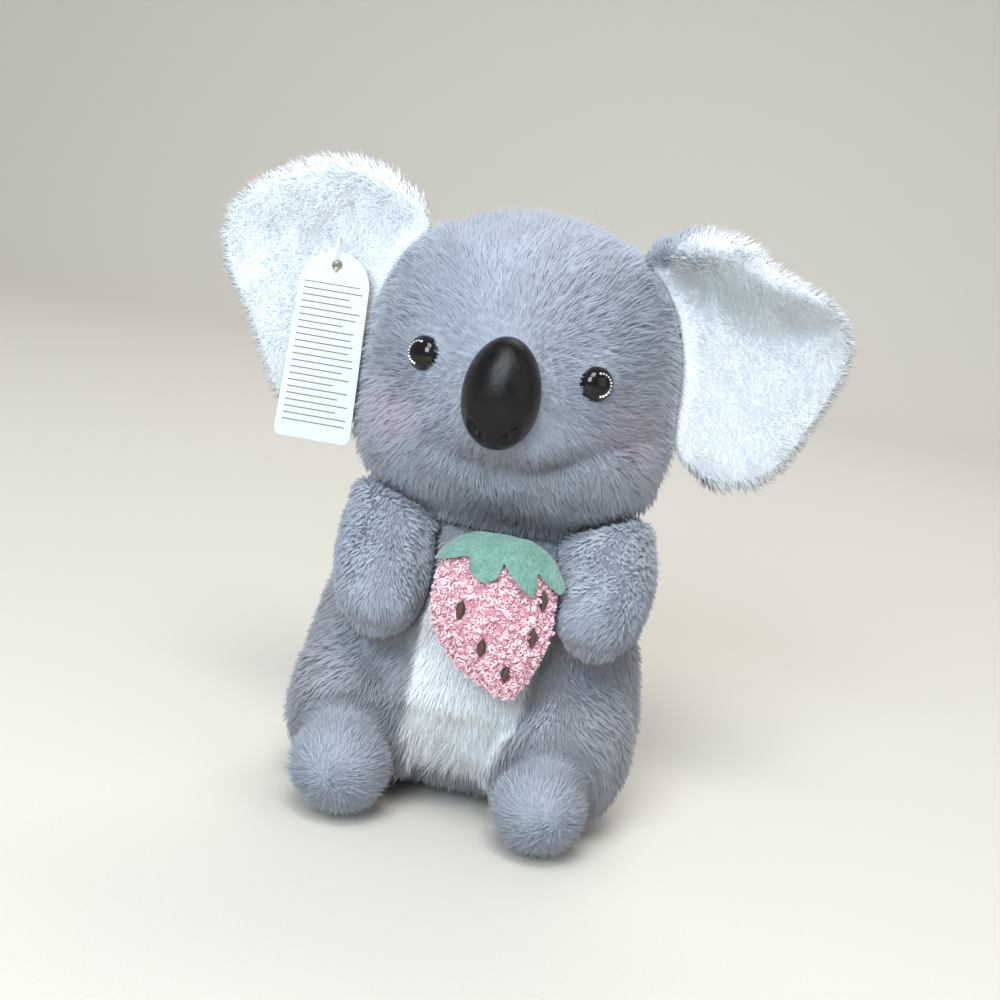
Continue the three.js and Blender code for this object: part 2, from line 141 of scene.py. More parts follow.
def drift(points: Array, scale: float, seed: int) -> Array:
    """A smooth random vector, each part from -1 to 1, that changes over a length of scale.

    Args:
        points: places, shaped (n, 3).
        scale: size of one lattice cell.
        seed: picks the pattern.

    Returns:
        Vectors shaped (n, 3).
    """
    at = points / scale
    low = np.floor(at).astype(np.int64)
    t = at - low
    t = t * t * (3.0 - 2.0 * t)
    total = np.zeros_like(points)
    for corner in np.ndindex(2, 2, 2):
        share = np.prod(np.where(np.array(corner) == 1, t, 1.0 - t), axis=1)
        total += share[:, None] * hashed(low + np.array(corner), seed)
    return total * 2.0 - 1.0


def lock_centres(points: Array, size: float, seed: int) -> Array:
    """The centre of the lock of pile that each point belongs to: the nearest of one loose point a cell.

    Args:
        points: places, shaped (n, 3).
        size: distance between neighbouring locks.
        seed: picks the pattern.

    Returns:
        Places shaped (n, 3).
    """
    low = np.floor(points / size).astype(np.int64)
    best = np.full(len(points), np.inf)
    centre = np.zeros_like(points)
    for offset in np.ndindex(3, 3, 3):
        cell = low + np.array(offset) - 1
        place = (cell + hashed(cell, seed)) * size
        gap = ((place - points) ** 2).sum(1)
        nearer = gap < best
        best[nearer] = gap[nearer]
        centre[nearer] = place[nearer]
    return centre


# ---- meshes ----


def link(name: str, data: bpy.types.ID) -> Object:
    """A new object in the scene, of that mesh, curve, light or camera."""
    thing = bpy.data.objects.new(name, data)
    bpy.context.scene.collection.objects.link(thing)
    return thing


def mesh_of(name: str, points: Array, triangles: Array, smooth: bool = True) -> Mesh:
    """A mesh from arrays.

    Args:
        name: the mesh's name.
        points: places, shaped (n, 3).
        triangles: vertex numbers, shaped (m, 3).
        smooth: whether the faces are smooth shaded.

    Returns:
        The mesh.
    """
    mesh = bpy.data.meshes.new(name)
    mesh.vertices.add(len(points))
    mesh.vertices.foreach_set("co", np.ascontiguousarray(points, np.float32).ravel())
    mesh.loops.add(3 * len(triangles))
    mesh.loops.foreach_set("vertex_index", np.ascontiguousarray(triangles, np.int32).ravel())
    mesh.polygons.add(len(triangles))
    mesh.polygons.foreach_set("loop_start", np.arange(0, 3 * len(triangles), 3, dtype=np.int32))
    mesh.polygons.foreach_set("use_smooth", np.full(len(triangles), smooth))
    mesh.update(calc_edges=True)
    return mesh


def read(items: Sequence[object], key: str, kind: type, width: int) -> Array:
    """One property of every item of a Blender collection, as rows of that width."""
    values = np.empty(len(items) * width, kind)
    items.foreach_get(key, values)
    return values.reshape(-1, width)


def give_value(mesh: Mesh, name: str, values: Array) -> None:
    """Stores one number a vertex under that name."""
    layer = mesh.attributes.new(name, "FLOAT", "POINT")
    layer.data.foreach_set("value", np.ascontiguousarray(values, np.float32))


def merged_solid(nodes: Iterable[str], swell: float = 0.0) -> Mesh:
    """Copies of CAD solids in one mesh, with their loose triangles joined up.

    Args:
        nodes: the CAD nodes to copy.
        swell: how far their faces move outwards, to close the gaps between them.

    Returns:
        The joined mesh.
    """
    solid = bmesh.new()
    for node in nodes:
        single = bmesh.new()
        single.from_mesh(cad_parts[node].data)
        bmesh.ops.remove_doubles(single, verts=single.verts, dist=1e-6)
        single.normal_update()
        for vertex in single.verts:
            vertex.co += vertex.normal * swell
        part = bpy.data.meshes.new("part")
        single.to_mesh(part)
        single.free()
        solid.from_mesh(part)
        bpy.data.meshes.remove(part)
    mesh = bpy.data.meshes.new("solid")
    solid.to_mesh(mesh)
    solid.free()
    return mesh


def evaluated(thing: Object) -> Mesh:
    """The object's mesh with its modifiers applied; the object and its own mesh are removed."""
    bpy.context.view_layer.update()
    graph = bpy.context.evaluated_depsgraph_get()
    mesh = bpy.data.meshes.new_from_object(thing.evaluated_get(graph))
    bpy.data.objects.remove(thing)
    return mesh


def remeshed(mesh: Mesh, voxel: float) -> Mesh:
    """One even closed surface round a mesh, made of cells of that size."""
    thing = link("remesh", mesh)
    modifier = thing.modifiers.new("voxels", "REMESH")
    modifier.mode = "VOXEL"
    modifier.voxel_size = voxel
    return evaluated(thing)


def tree_of(nodes: Iterable[str]) -> BVHTree:
    """A search tree over copies of CAD solids."""
    solid = merged_solid(nodes)
    found = BVHTree.FromPolygons(
        [vertex.co.copy() for vertex in solid.vertices],
        [tuple(face.vertices) for face in solid.polygons],
    )
    bpy.data.meshes.remove(solid)
    return found


def distances(points: Array, tree: BVHTree) -> Array:
    """How far each point is from the nearest face in the tree."""
    return np.array([tree.find_nearest(Vector(point))[3] for point in points])


class Cloth:
    """A closed surface as arrays, which can be smoothed, drawn in and sculpted."""

    def __init__(self, mesh: Mesh) -> None:
        """Reads the mesh, splits its faces into triangles and removes it."""
        self.points = read(mesh.vertices, "co", np.float32, 3).astype(float)
        mesh.calc_loop_triangles()
        self.triangles = read(mesh.loop_triangles, "vertices", np.int32, 3)
        self.edges = read(mesh.edges, "vertices", np.int32, 2)
        bpy.data.meshes.remove(mesh)

    def crossed(self) -> Array:
        """The outward direction of each face, twice as long as its area."""
        corners = self.points[self.triangles]
        return np.cross(corners[:, 1] - corners[:, 0], corners[:, 2] - corners[:, 0])

    def normals(self) -> Array:
        """The outward direction at each vertex."""
        faces = self.crossed()
        total = np.zeros_like(self.points)
        for k in range(3):
            for axis in range(3):
                total[:, axis] += np.bincount(self.triangles[:, k], faces[:, axis], len(total))
        return unit(total)

    def smooth(self, rounds: int, share: float = 0.5) -> None:
        """Evens the surface out; each round draws it together and lets it out again, so it keeps its size."""
        count = len(self.points)
        first, second = self.edges.T
        neighbours = np.bincount(first, minlength=count) + np.bincount(second, minlength=count)
        for step in (share, -SPRING_BACK * share) * rounds:
            total = np.empty_like(self.points)
            for axis in range(3):
                total[:, axis] = np.bincount(first, self.points[second, axis], count)
                total[:, axis] += np.bincount(second, self.points[first, axis], count)
            self.points += step * (total / np.maximum(neighbours, 1)[:, None] - self.points)

    def thickness(self) -> Array:
        """How far the far side is, straight in from each point."""
        tree = BVHTree.FromPolygons([Vector(p) for p in self.points], self.triangles.tolist())
        far = np.full(len(self.points), NOTHING_BEHIND)
        for k, (point, normal) in enumerate(zip(self.points, self.normals())):
            hit = tree.ray_cast(Vector(point - normal * RAY_START * MM), Vector(-normal))
            if hit[0] is not None:
                far[k] = hit[3]
        return far

    def draw_in(self, depth: Array | float) -> None:
        """Moves each vertex inwards by its depth."""
        self.points -= self.normals() * np.broadcast_to(depth, len(self.points))[:, None]

    def mesh(self, name: str) -> Mesh:
        """The surface as a Blender mesh."""
        return mesh_of(name, self.points, self.triangles)


def unwrap(thing: Object) -> None:
    """Lays the object's own surface out flat in a UV map."""
    bpy.context.view_layer.objects.active = thing
    thing.select_set(True)
    bpy.ops.object.mode_set(mode="EDIT")
    bpy.ops.mesh.select_all(action="SELECT")
    bpy.ops.uv.smart_project(angle_limit=math.radians(66), island_margin=BAKE_PATCH)
    bpy.ops.object.mode_set(mode="OBJECT")
    thing.select_set(False)
    thing.data.uv_layers.active.name = BAKE_MAP


def place(thing: Object, slot: str, *nodes: str, fill: float | None = None) -> Object:
    """Hands a finished piece to the frame.

    Args:
        thing: the piece, which lies at the origin.
        slot: not used.
        nodes: the CAD nodes it stands for.
        fill: not used.

    Returns:
        The piece.
    """
    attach(thing, BODY)
    if nodes:
        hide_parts(*nodes)
    thing.data.calc_loop_triangles()
    LOG.info("%s: %d triangles", thing.name, len(thing.data.loop_triangles))
    return thing


# ---- material graphs ----


class Graph:
    """A node material being drawn up, with one Principled shader."""

    def __init__(self, name: str) -> None:
        """Starts the material."""
        self.material = bpy.data.materials.new(name)
        self.material.use_nodes = True
        self.tree = self.material.node_tree
        self.tree.nodes.clear()
        self.output = self.add("ShaderNodeOutputMaterial")
        self.shader = self.add("ShaderNodeBsdfPrincipled")
        self.wire(self.shader.outputs["BSDF"], self.output.inputs["Surface"])

    def add(self, kind: str, **settings: object) -> Node:
        """A new node of that kind with its own settings."""
        node = self.tree.nodes.new(kind)
        for name, value in settings.items():
            setattr(node, name, value)
        return node

    def wire(self, source: object, target: Socket) -> None:
        """Joins a socket to a socket, or sets the target's own value."""
        if isinstance(source, Socket):
            self.tree.links.new(source, target)
        elif isinstance(source, tuple) and len(source) == 3 and target.type == "RGBA":
            target.default_value = (*source, 1.0)
        else:
            target.default_value = source

    def attribute(self, name: str) -> Socket:
        """The number that the mesh holds under that name."""
        return self.add("ShaderNodeAttribute", attribute_name=name).outputs["Fac"]

    def place(self) -> Socket:
        """Where a point is on the object, in metres."""
        return self.add("ShaderNodeTexCoord").outputs["Object"]

    def maths(self, operation: str, *values: object) -> Socket:
        """The result of a maths operation on sockets or numbers."""
        node = self.add("ShaderNodeMath", operation=operation)
        for value, target in zip(values, node.inputs):
            self.wire(value, target)
        return node.outputs[0]

    def span(self, value: object, low: float, high: float, start: float = 0.0, end: float = 1.0) -> Socket:
        """The value from low to high made to run from start to end, smoothly and no further."""
        node = self.add("ShaderNodeMapRange", interpolation_type="SMOOTHSTEP")
        names = ("Value", "From Min", "From Max", "To Min", "To Max")
        for name, item in zip(names, (value, low, high, start, end)):
            self.wire(item, node.inputs[name])
        return node.outputs["Result"]

    def mix(self, factor: object, first: object, second: object, blend: str = "MIX") -> Socket:
        """Two colours mixed by a factor."""
        node = self.add("ShaderNodeMix", data_type="RGBA", blend_type=blend)
        self.wire(factor, node.inputs[0])
        self.wire(first, node.inputs[6])
        self.wire(second, node.inputs[7])
        return node.outputs[2]

    def noise(self, vector: Socket, scale: float, detail: float = 2.0) -> Socket:
        """Cloudy noise from 0 to 1."""
        node = self.add("ShaderNodeTexNoise")
        self.wire(vector, node.inputs["Vector"])
        node.inputs["Scale"].default_value = scale
        node.inputs["Detail"].default_value = detail
        return node.outputs["Fac"]

    def cells(self, vector: Socket, scale: float) -> Socket:
        """How far each point is from its cell's middle, with that many cells a metre."""
        node = self.add("ShaderNodeTexVoronoi")
        self.wire(vector, node.inputs["Vector"])
        node.inputs["Scale"].default_value = scale
        return node.outputs["Distance"]

    def bump(self, height: Socket, strength: float, distance: float) -> Socket:
        """A bumped normal; distance is the height's depth in metres."""
        node = self.add("ShaderNodeBump")
        node.inputs["Strength"].default_value = strength
        node.inputs["Distance"].default_value = distance
        self.wire(height, node.inputs["Height"])
        return node.outputs["Normal"]

    def finish(self, colour: object, roughness: object, normal: object = None, **inputs: object) -> Material:
        """Wires the shader up.

        Args:
            colour: base colour, a socket or three numbers.
            roughness: a socket or a number.
            normal: a bumped normal, if any.
            inputs: further shader inputs, by name with _ for a space.

        Returns:
            The material.
        """
        self.wire(colour, self.shader.inputs["Base Color"])
        self.wire(roughness, self.shader.inputs["Roughness"])
        if normal is not None:
            self.wire(normal, self.shader.inputs["Normal"])
        for name, value in inputs.items():
            self.wire(value, self.shader.inputs[name.replace("_", " ")])
        return self.material


@dataclass(frozen=True)
class PlushFinish:
    """Soft polyester pile, white or lilac grey, with painted shade: darker between the strands, towards their
    roots, than at their tips.
    """

    # painted shade: the root colours are darker than the tip colours, for the shade deep in the pile
    grey_root_shaded: Colour = (0.328, 0.351, 0.405)
    grey_tip: Colour = (0.418, 0.447, 0.515)
    white_root_shaded: Colour = (0.9, 0.93, 0.955)
    white_tip: Colour = (0.93, 0.945, 0.965)
    blush: Colour = (0.57, 0.44, 0.53)
    # painted shade: the brown-grey that creases, seams and the lower body are darkened towards
    painted_shade: Colour = (0.24, 0.20, 0.19)

    def shades(self, graph: Graph, height: object) -> Socket:
        """The pile's colour at a height from root, 0, to tip, 1: painted shade darkens it towards the root;
        with the toy's markings, and painted shade where they call for it.
        """
        tone = graph.attribute("tone")
        lift = graph.maths("ADD", height, graph.maths("MULTIPLY", graph.maths("SUBTRACT", tone, 0.5), 0.5))
        # painted shade towards the roots
        grey = graph.mix(graph.span(lift, -0.1, 0.95), self.grey_root_shaded, self.grey_tip)
        grey = graph.mix(graph.maths("MULTIPLY", graph.attribute("blush"), 0.5), grey, self.blush)
        # painted shade in creases, in seams and on the body, where the markings ask for it
        grey = graph.mix(graph.maths("MULTIPLY", graph.attribute("painted_shade"), 0.6), grey, self.painted_shade)
        white = graph.mix(graph.span(lift, -0.2, 0.7), self.white_root_shaded, self.white_tip)
        return graph.mix(graph.attribute("white"), grey, white)

    def pile(self) -> Material:
        """The finish of the strands."""
        graph = Graph("plush_pile")
        colour = self.shades(graph, graph.attribute("along"))
        return graph.finish(colour, 0.75, Sheen_Weight=0.35, Sheen_Roughness=0.4, Specular_IOR_Level=0.2)

    def backing(self) -> Material:
        """The finish of the knitted cloth that the strands stand in, with their short stubs, in the pile's
        darker root colours as painted shade.
        """
        graph = Graph("plush_backing")
        spot = graph.place()
        stubs = graph.noise(spot, 1600.0, 3.0)
        # painted shade: the cloth between the strands takes the darker root colours
        colour = self.shades(graph, graph.span(stubs, 0.35, 0.75, 0.0, 0.5))
        return graph.finish(colour, 0.95, graph.bump(stubs, 0.8, 0.6 * MM), Specular_IOR_Level=0.1)


class Tree:
    """A Geometry Nodes tree being drawn up, with named inputs; it ends in realized and dressed geometry."""

    def __init__(self, name: str) -> None:
        """Starts the tree, with the geometry it works on as its first input."""
        self.group = bpy.data.node_groups.new(name, "GeometryNodeTree")
        self.group.interface.new_socket("Geometry", in_out="INPUT", socket_type="NodeSocketGeometry")
        self.group.interface.new_socket("Geometry", in_out="OUTPUT", socket_type="NodeSocketGeometry")
        self.source = self.group.nodes.new("NodeGroupInput")
        self.identifiers: dict[str, str] = {}

    def takes(self, name: str, kind: str = "Float") -> Socket:
        """A new named input of that kind."""
        item = self.group.interface.new_socket(name, in_out="INPUT", socket_type=f"NodeSocket{kind}")
        self.identifiers[name] = item.identifier
        return self.source.outputs[name]

    def add(self, kind: str, inputs: dict[str, object] | None = None, **settings: object) -> Node:
        """A new node, with its settings and what goes into it: sockets or plain values."""
        node = self.group.nodes.new(kind)
        for name, value in settings.items():
            setattr(node, name, value)
        for name, value in (inputs or {}).items():
            self.feed(value, node.inputs[name])
        return node

    def feed(self, value: object, target: Socket) -> None:
        """Joins a socket to the target, or sets the target's own value."""
        if isinstance(value, Socket):
            self.group.links.new(value, target)
        else:
            target.default_value = value

    def chance(self, low: object, high: object, seed: object, kind: str = "FLOAT") -> Socket:
        """A random number or vector from low to high for every element."""
        node = self.add("FunctionNodeRandomValue", data_type=kind)
        ends = [socket for socket in node.inputs if socket.name in ("Min", "Max") and socket.enabled]
        for value, socket in zip((low, high, seed), (*ends, node.inputs["Seed"])):
            self.feed(value, socket)
        return [socket for socket in node.outputs if socket.enabled][0]

    def toned(self, instances: Socket, seed: Socket) -> Socket:
        """The instances, each with a number of its own from 0 to 1 as its "tone"."""
        stored = self.add(
            "GeometryNodeStoreNamedAttribute",
            {"Geometry": instances, "Name": "tone", "Value": self.chance(0.0, 1.0, seed)},
            data_type="FLOAT",
            domain="INSTANCE",
        )
        return stored.outputs["Geometry"]

    def finish(self, geometry: Socket) -> None:
        """Realizes the instances, gives them the material input and ends the tree."""
        solid = self.add("GeometryNodeRealizeInstances", {"Geometry": geometry})
        dressed = self.add(
            "GeometryNodeSetMaterial",
            {"Geometry": solid.outputs["Geometry"], "Material": self.takes("Material", "Material")},
        )
        target = self.group.nodes.new("NodeGroupOutput")
        self.group.links.new(dressed.outputs["Geometry"], target.inputs["Geometry"])

    def grow(self, name: str, mesh: Mesh, **values: object) -> Object:
        """Runs the tree on a mesh.

        Args:
            name: the new piece's name.
            mesh: what the tree works on.
            values: the named inputs, with _ for a space.

        Returns:
            A plain mesh object.
        """
        thing = link("growing", mesh)
        modifier = thing.modifiers.new("tree", "NODES")
        modifier.node_group = self.group
        for key, value in values.items():
            modifier[self.identifiers[key.replace("_", " ")]] = value
        grown = evaluated(thing)
        grown.name = name
        return link(name, grown)


# ---- pile ----


BEND = 0.45
ROOT_SINK = 0.5 * MM
PRESSED = 1.5 * MM  # below this height the floor flattens the strands


class Tuft(Enum):
    """The two makes of tuft: which of the five corners it has, and its faces."""

    BENT = ((0, 1, 2, 3, 4), ((1, 0, 3), (0, 4, 3), (3, 4, 1), (0, 1, 2), (4, 0, 2), (1, 4, 2)))
    STRAIGHT = ((0, 1, 2, 4), ((1, 0, 3), (0, 2, 3), (2, 1, 3), (0, 1, 2)))

    @property
    def corners(self) -> list[int]:
        """Its corners: left, right and under the root, the bend, and the tip."""
        return list(self.value[0])

    @property
    def faces(self) -> Array:
        """Its faces, by number among its own corners."""
        return np.array(self.value[1], np.int32)


CORNER_HEIGHTS = np.array([0.0, 0.0, 0.0, BEND, 1.0])
CORNER_PATCH = np.array([(0, 0), (1, 0), (0.5, 0), (0.5, BEND), (0.5, 1)]) * BAKE_PATCH


@dataclass(frozen=True)
class Pile:
    """How one kind of pile grows. Lengths are in metres and angles in degrees from the cloth's normal."""

    length: float = 9.0 * MM
    width: float = 0.42 * MM
    per_mm2: float = 2.1
    root_angle: float = 34.0
    tip_angle: float = 68.0
    swirl: float = 22.0
    gather: float = 0.3
    lock: float = 4.0 * MM
    straight_share: float = 0.6

    def depth(self, lean: Array) -> Array:
        """How far the tips of full strands stand above the cloth, where both angles are taken times lean."""
        low, high = np.radians(self.root_angle * lean), np.radians(self.tip_angle * lean)
        return self.length * (BEND * np.cos(low) + (1 - BEND) * np.cos(high))


@dataclass(frozen=True)
class Unevenness:
    """How tufts differ from one another. The sizes of patterns are in locks, and angles in degrees."""

    swirl_size: float = 2.2
    swirl: float = 1.3
    wide_swirl_size: float = 6.0
    wide_swirl: float = 0.9
    stray: float = 0.5
    lengths: Reach = (0.72, 1.12)
    widths: Reach = (0.75, 1.25)
    tilt_size: float = 1.6
    tilt: float = 9.0
    stray_tilt: float = 7.0
    root_angles: Reach = (2.0, 70.0)
    tip_angles: Reach = (4.0, 84.0)
    patches: float = 0.3
    speck_size: float = 2.6 * MM
    stray_tone: float = 0.17


UNEVEN = Unevenness()
GATHER_AT_BEND = 0.35
GATHER_AT_TIP = 0.65


@dataclass
class Roots:
    """Where tufts stand, and what each takes from the cloth there."""

    points: Array
    normals: Array
    uvs: Array
    values: dict[str, Array]


def scatter(cloth: Object, weight: Array, per_mm2: float, rng: np.random.Generator) -> Roots:
    """Spreads roots evenly over a cloth.

    Args:
        cloth: the unwrapped skin, of triangles only.
        weight: share of the full density at each vertex.
        per_mm2: full density.
        rng: source of chance.

    Returns:
        The roots, with every number that the cloth's mesh holds.
    """
    mesh = cloth.data
    surface = Cloth(mesh.copy())
    triangles = surface.triangles
    corners = surface.points[triangles]
    area = 0.5 * np.linalg.norm(surface.crossed(), axis=1)
    share = np.cumsum(area * weight[triangles].mean(1)) * per_mm2 / MM**2
    count = int(share[-1])
    chosen = np.searchsorted(share, (np.arange(count) + rng.random(count)) * share[-1] / count)
    chosen = np.minimum(chosen, len(triangles) - 1)
    first, second = rng.random((2, count))
    fold = np.sqrt(first)
    spread = np.stack([1 - fold, fold * (1 - second), fold * second], 1)
    uvs = read(mesh.uv_layers[BAKE_MAP].data, "uv", np.float32, 2).reshape(-1, 3, 2)

    def blended(corner_values: Array) -> Array:
        """Values at the three corners, blended at each root."""
        return (corner_values[chosen] * spread[..., None]).sum(1)

    values = {}
    for layer in mesh.attributes:
        if layer.data_type == "FLOAT" and layer.domain == "POINT":
            values[layer.name] = blended(read(layer.data, "value", np.float32, 1)[triangles])[:, 0]
    normals = unit(blended(surface.normals()[triangles]))
    return Roots(blended(corners), normals, blended(uvs.astype(float)), values)


def shaped(
    roots: Roots, lie: Array, pile: Pile, scale: Array, lean: Array, rng: np.random.Generator
) -> tuple[Array, Array]:
    """Shapes one tuft on every root; the arguments are those of grow.

    Returns:
        Each tuft's five corners, and which way each corner is shaded, both shaped (n, 5, 3).
    """
    count = len(roots.points)
    normals = roots.normals
    comb = unit(lie - normals * (lie * normals).sum(1, keepdims=True))
    swirl = drift(roots.points, UNEVEN.swirl_size * pile.lock, Pattern.SWIRL)[:, 0]
    wide_swirl = drift(roots.points, UNEVEN.wide_swirl_size * pile.lock, Pattern.WIDE_SWIRL)[:, 0]
    stray = swirl * UNEVEN.swirl + wide_swirl * UNEVEN.wide_swirl
    turn = np.radians(pile.swirl) * (stray + rng.normal(0, UNEVEN.stray, count))[:, None]
    ahead = comb * np.cos(turn) + np.cross(normals, comb) * np.sin(turn)
    length = (pile.length * scale * rng.uniform(*UNEVEN.lengths, count))[:, None]
    tilt = drift(roots.points, UNEVEN.tilt_size * pile.lock, Pattern.TILT)[:, 1] * UNEVEN.tilt
    tilt = (tilt + rng.normal(0, UNEVEN.stray_tilt, count))[:, None]
    low = np.radians(np.clip(pile.root_angle * lean[:, None] + tilt, *UNEVEN.root_angles))
    high = np.radians(np.clip(pile.tip_angle * lean[:, None] + tilt, *UNEVEN.tip_angles))
    rising = normals * np.cos(low) + ahead * np.sin(low)
    lying = normals * np.cos(high) + ahead * np.sin(high)
    home = lock_centres(roots.points, pile.lock, Pattern.LOCKS) - roots.points
    home -= normals * (home * normals).sum(1, keepdims=True)
    base = roots.points - rising * ROOT_SINK
    bend = base + rising * length * BEND + home * pile.gather * GATHER_AT_BEND
    tip = bend + lying * length * (1 - BEND) + home * pile.gather * GATHER_AT_TIP
    shaft = unit(bend - base)
    side = unit(np.cross(shaft, normals) + 1e-9)
    upper = unit(np.cross(side, shaft))
    slim = np.sqrt(np.clip(scale, 0.4, 1)) / np.clip(scale, 1, 3) ** 0.7
    half = (0.5 * pile.width * rng.uniform(*UNEVEN.widths, count) * slim)[:, None]
    sides = [base + side * half, base - side * half]
    corners = np.stack([*sides, base - upper * half * 1.2, bend + upper * half * 0.9, tip], 1)
    height = corners[..., 2]
    flattened = PRESSED * np.exp(np.minimum(height / PRESSED, 1) - 1)
    corners[..., 2] = np.where(height < PRESSED, flattened, height)
    turned = (0.5 * side, -0.5 * side, -0.2 * upper, 0.25 * upper, 0.35 * shaft)
    return corners, unit(np.stack([normals + part for part in turned], 1))


def grow(
    name: str, roots: Roots, lie: Array, pile: Pile, scale: Array, lean: Array, rng: np.random.Generator
) -> list[Object]:
    """Grows one tuft on every root and joins them into as few pieces as the size limit allows.

    Args:
        name: what the pieces are called, before their number.
        roots: where the tufts stand.
        lie: which way each tuft is combed.
        pile: the tufts' make.
        scale: each tuft's own share of the full length.
        lean: each tuft's own share of the pile's angles: less for pile that stands up.
        rng: source of chance.

    Returns:
        The pieces.
    """
    count = len(roots.points)
    corners, facing = shaped(roots, lie, pile, scale, lean, rng)
    values = dict(roots.values)
    cloud = UNEVEN.patches * drift(roots.points, CLOUD_SIZE, Pattern.CLOUDS)[:, 2]
    cloud += UNEVEN.patches * drift(roots.points, UNEVEN.speck_size, Pattern.SPECKS)[:, 2]
    values["tone"] = np.clip(0.5 + cloud + rng.normal(0, UNEVEN.stray_tone, count), 0, 1)
    straight = rng.random(count) < pile.straight_share
    made = []
    for kind, chosen in ((Tuft.BENT, np.flatnonzero(~straight)), (Tuft.STRAIGHT, np.flatnonzero(straight))):
        if not len(chosen):
            continue
        parts = math.ceil(len(chosen) * len(kind.faces) / MOST_TRIANGLES)
        for k, rows in enumerate(np.array_split(chosen, parts)):
            called = f"{name}_{kind.name.lower()}_{k + 1}"
            size = len(kind.corners)
            faces = (kind.faces[None] + size * np.arange(len(rows))[:, None, None]).reshape(-1, 3)
            mesh = mesh_of(called, corners[rows][:, kind.corners].reshape(-1, 3), faces)
            give_value(mesh, "along", np.tile(CORNER_HEIGHTS[kind.corners], len(rows)))
            for value_name, value in values.items():
                give_value(mesh, value_name, np.repeat(value[rows], size))
            where = (roots.uvs[rows][:, None] + CORNER_PATCH[kind.corners][None]).reshape(-1, 2)
            layer = mesh.uv_layers.new(name=BAKE_MAP)
            layer.data.foreach_set("uv", where[faces.ravel()].astype(np.float32).ravel())
            mesh.normals_split_custom_set_from_vertices(facing[rows][:, kind.corners].reshape(-1, 3))
            made.append(link(called, mesh))
    return made


# ---- stuffed sub-assemblies ----


class Side(Enum):
    """Which side of the koala a part is on, as a sign along X."""

    RIGHT = -1
    LEFT = 1

    @property
    def word(self) -> str:
        """The side's name in the model's node names."""
        return self.name.lower()


def middle(node: str) -> Array:
    """The middle of a CAD node's box."""
    low, high = np.array(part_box(node))
    return (low + high) / 2


@dataclass
class StuffedPart:
    """A sewn and filled sub-assembly: one skin under the tips of the pile, and the pile on it."""

    name: str
    nodes: tuple[str, ...]
    slot: str
    pile: Pile = Pile()
    voxel: float = 1.8 * MM
    pocket_fillers: tuple[str, ...] = ()
    neighbours: tuple[str, ...] = ()
    fill: float = 0.9
    contact: Reach = (0.5 * MM, 1.1 * MM)
    closeness: float = 0.15
    swell: float = 0.4 * MM
    steps: int = 3
    thinning: float = 0.09
    meeting: Reach = (2.5 * MM, 10.0 * MM)
    crowding: Reach = (1.0 * MM, 9.0 * MM)
    seed: int = 1

    def length_share(self, points: Array) -> Array:
        """How much of its full length the pile has at each point."""
        return np.ones(len(points))

    def overgrowth(self, points: Array) -> Array:
        """How much longer the pile grows than what the cloth was drawn in for."""
        return np.ones(len(points))

    def lean(self, points: Array) -> Array:
        """How far the pile leans over at each point, from 0, upright, to 1."""
        return np.ones(len(points))

    def combing(self, points: Array) -> Array:
        """Which way the pile lies at each point."""
        return along((0, 0, -1), len(points))

    def creases(self, cloth: Cloth) -> None:
        """Sews the creases into the cloth."""

    def markings(self, outer: Array) -> dict[str, Array]:
        """The amounts of white, blush and painted shade at each point of the pile's outside."""
        nothing = np.zeros(len(outer))
        return {"white": nothing, "blush": nothing, "painted_shade": nothing}

    def cover(self, outer: Array) -> Array:
        """How densely the pile grows, from 0 to 1, at each point of its outside."""
        return smoothstep(distances(outer, tree_of(self.neighbours)), *self.contact)

    def depth(self, points: Array) -> Array:
        """How far the cloth lies below the pile's outside: hardly at all where it meets another part."""
        room = distances(points, tree_of(self.neighbours))
        full = self.pile.depth(self.lean(points)) * self.length_share(points)
        return full * (self.closeness + (1 - self.closeness) * smoothstep(room, *self.meeting))

    def skin(self) -> tuple[Object, Array]:
        """Sews the skin.

        Returns:
            The skin, and the pile's density at each of its vertices.
        """
        solid = merged_solid(self.nodes + self.pocket_fillers, self.swell)
        cloth = Cloth(remeshed(solid, self.voxel))
        cloth.smooth(6)
        for _ in range(self.steps):
            depth = (self.depth(cloth.points) + self.swell) / self.steps
            cloth.draw_in(np.minimum(depth, self.thinning * cloth.thickness()))
            cloth = Cloth(remeshed(cloth.mesh("drawn"), self.voxel))
            cloth.smooth(3)
        self.creases(cloth)
        outer = cloth.points + cloth.normals() * self.depth(cloth.points)[:, None]
        outer = cloth.points + cloth.normals() * self.depth(outer)[:, None]
        thing = link(f"{self.name}_skin", cloth.mesh(f"{self.name}_skin"))
        for marking, amount in self.markings(outer).items():
            give_value(thing.data, marking, amount)
        cloud = 0.35 * drift(cloth.points, CLOUD_SIZE, Pattern.CLOUDS)[:, 2]
        give_value(thing.data, "tone", np.clip(0.5 + cloud, 0, 1))
        unwrap(thing)
        return thing, self.cover(outer)

    def build(self, finishes: "Finishes") -> None:
        """Makes the skin and its pile and hands them to the frame."""
        rng = np.random.default_rng(self.seed)
        skin, weight = self.skin()
        skin.data.materials.append(finishes.backing)
        roots = scatter(skin, weight, self.pile.per_mm2, rng)
        spots = roots.points
        lie = self.combing(spots)
        share = self.length_share(spots) * self.overgrowth(spots)
        share *= 0.5 + 0.5 * smoothstep(distances(spots, tree_of(self.neighbours)), *self.crowding)
        pieces = grow(f"{self.name}_pile", roots, lie, self.pile, share, self.lean(spots), rng)
        place(skin, self.slot, *self.nodes, fill=self.fill)
        for piece in pieces:
            piece.data.materials.append(finishes.pile)
            place(piece, self.slot)


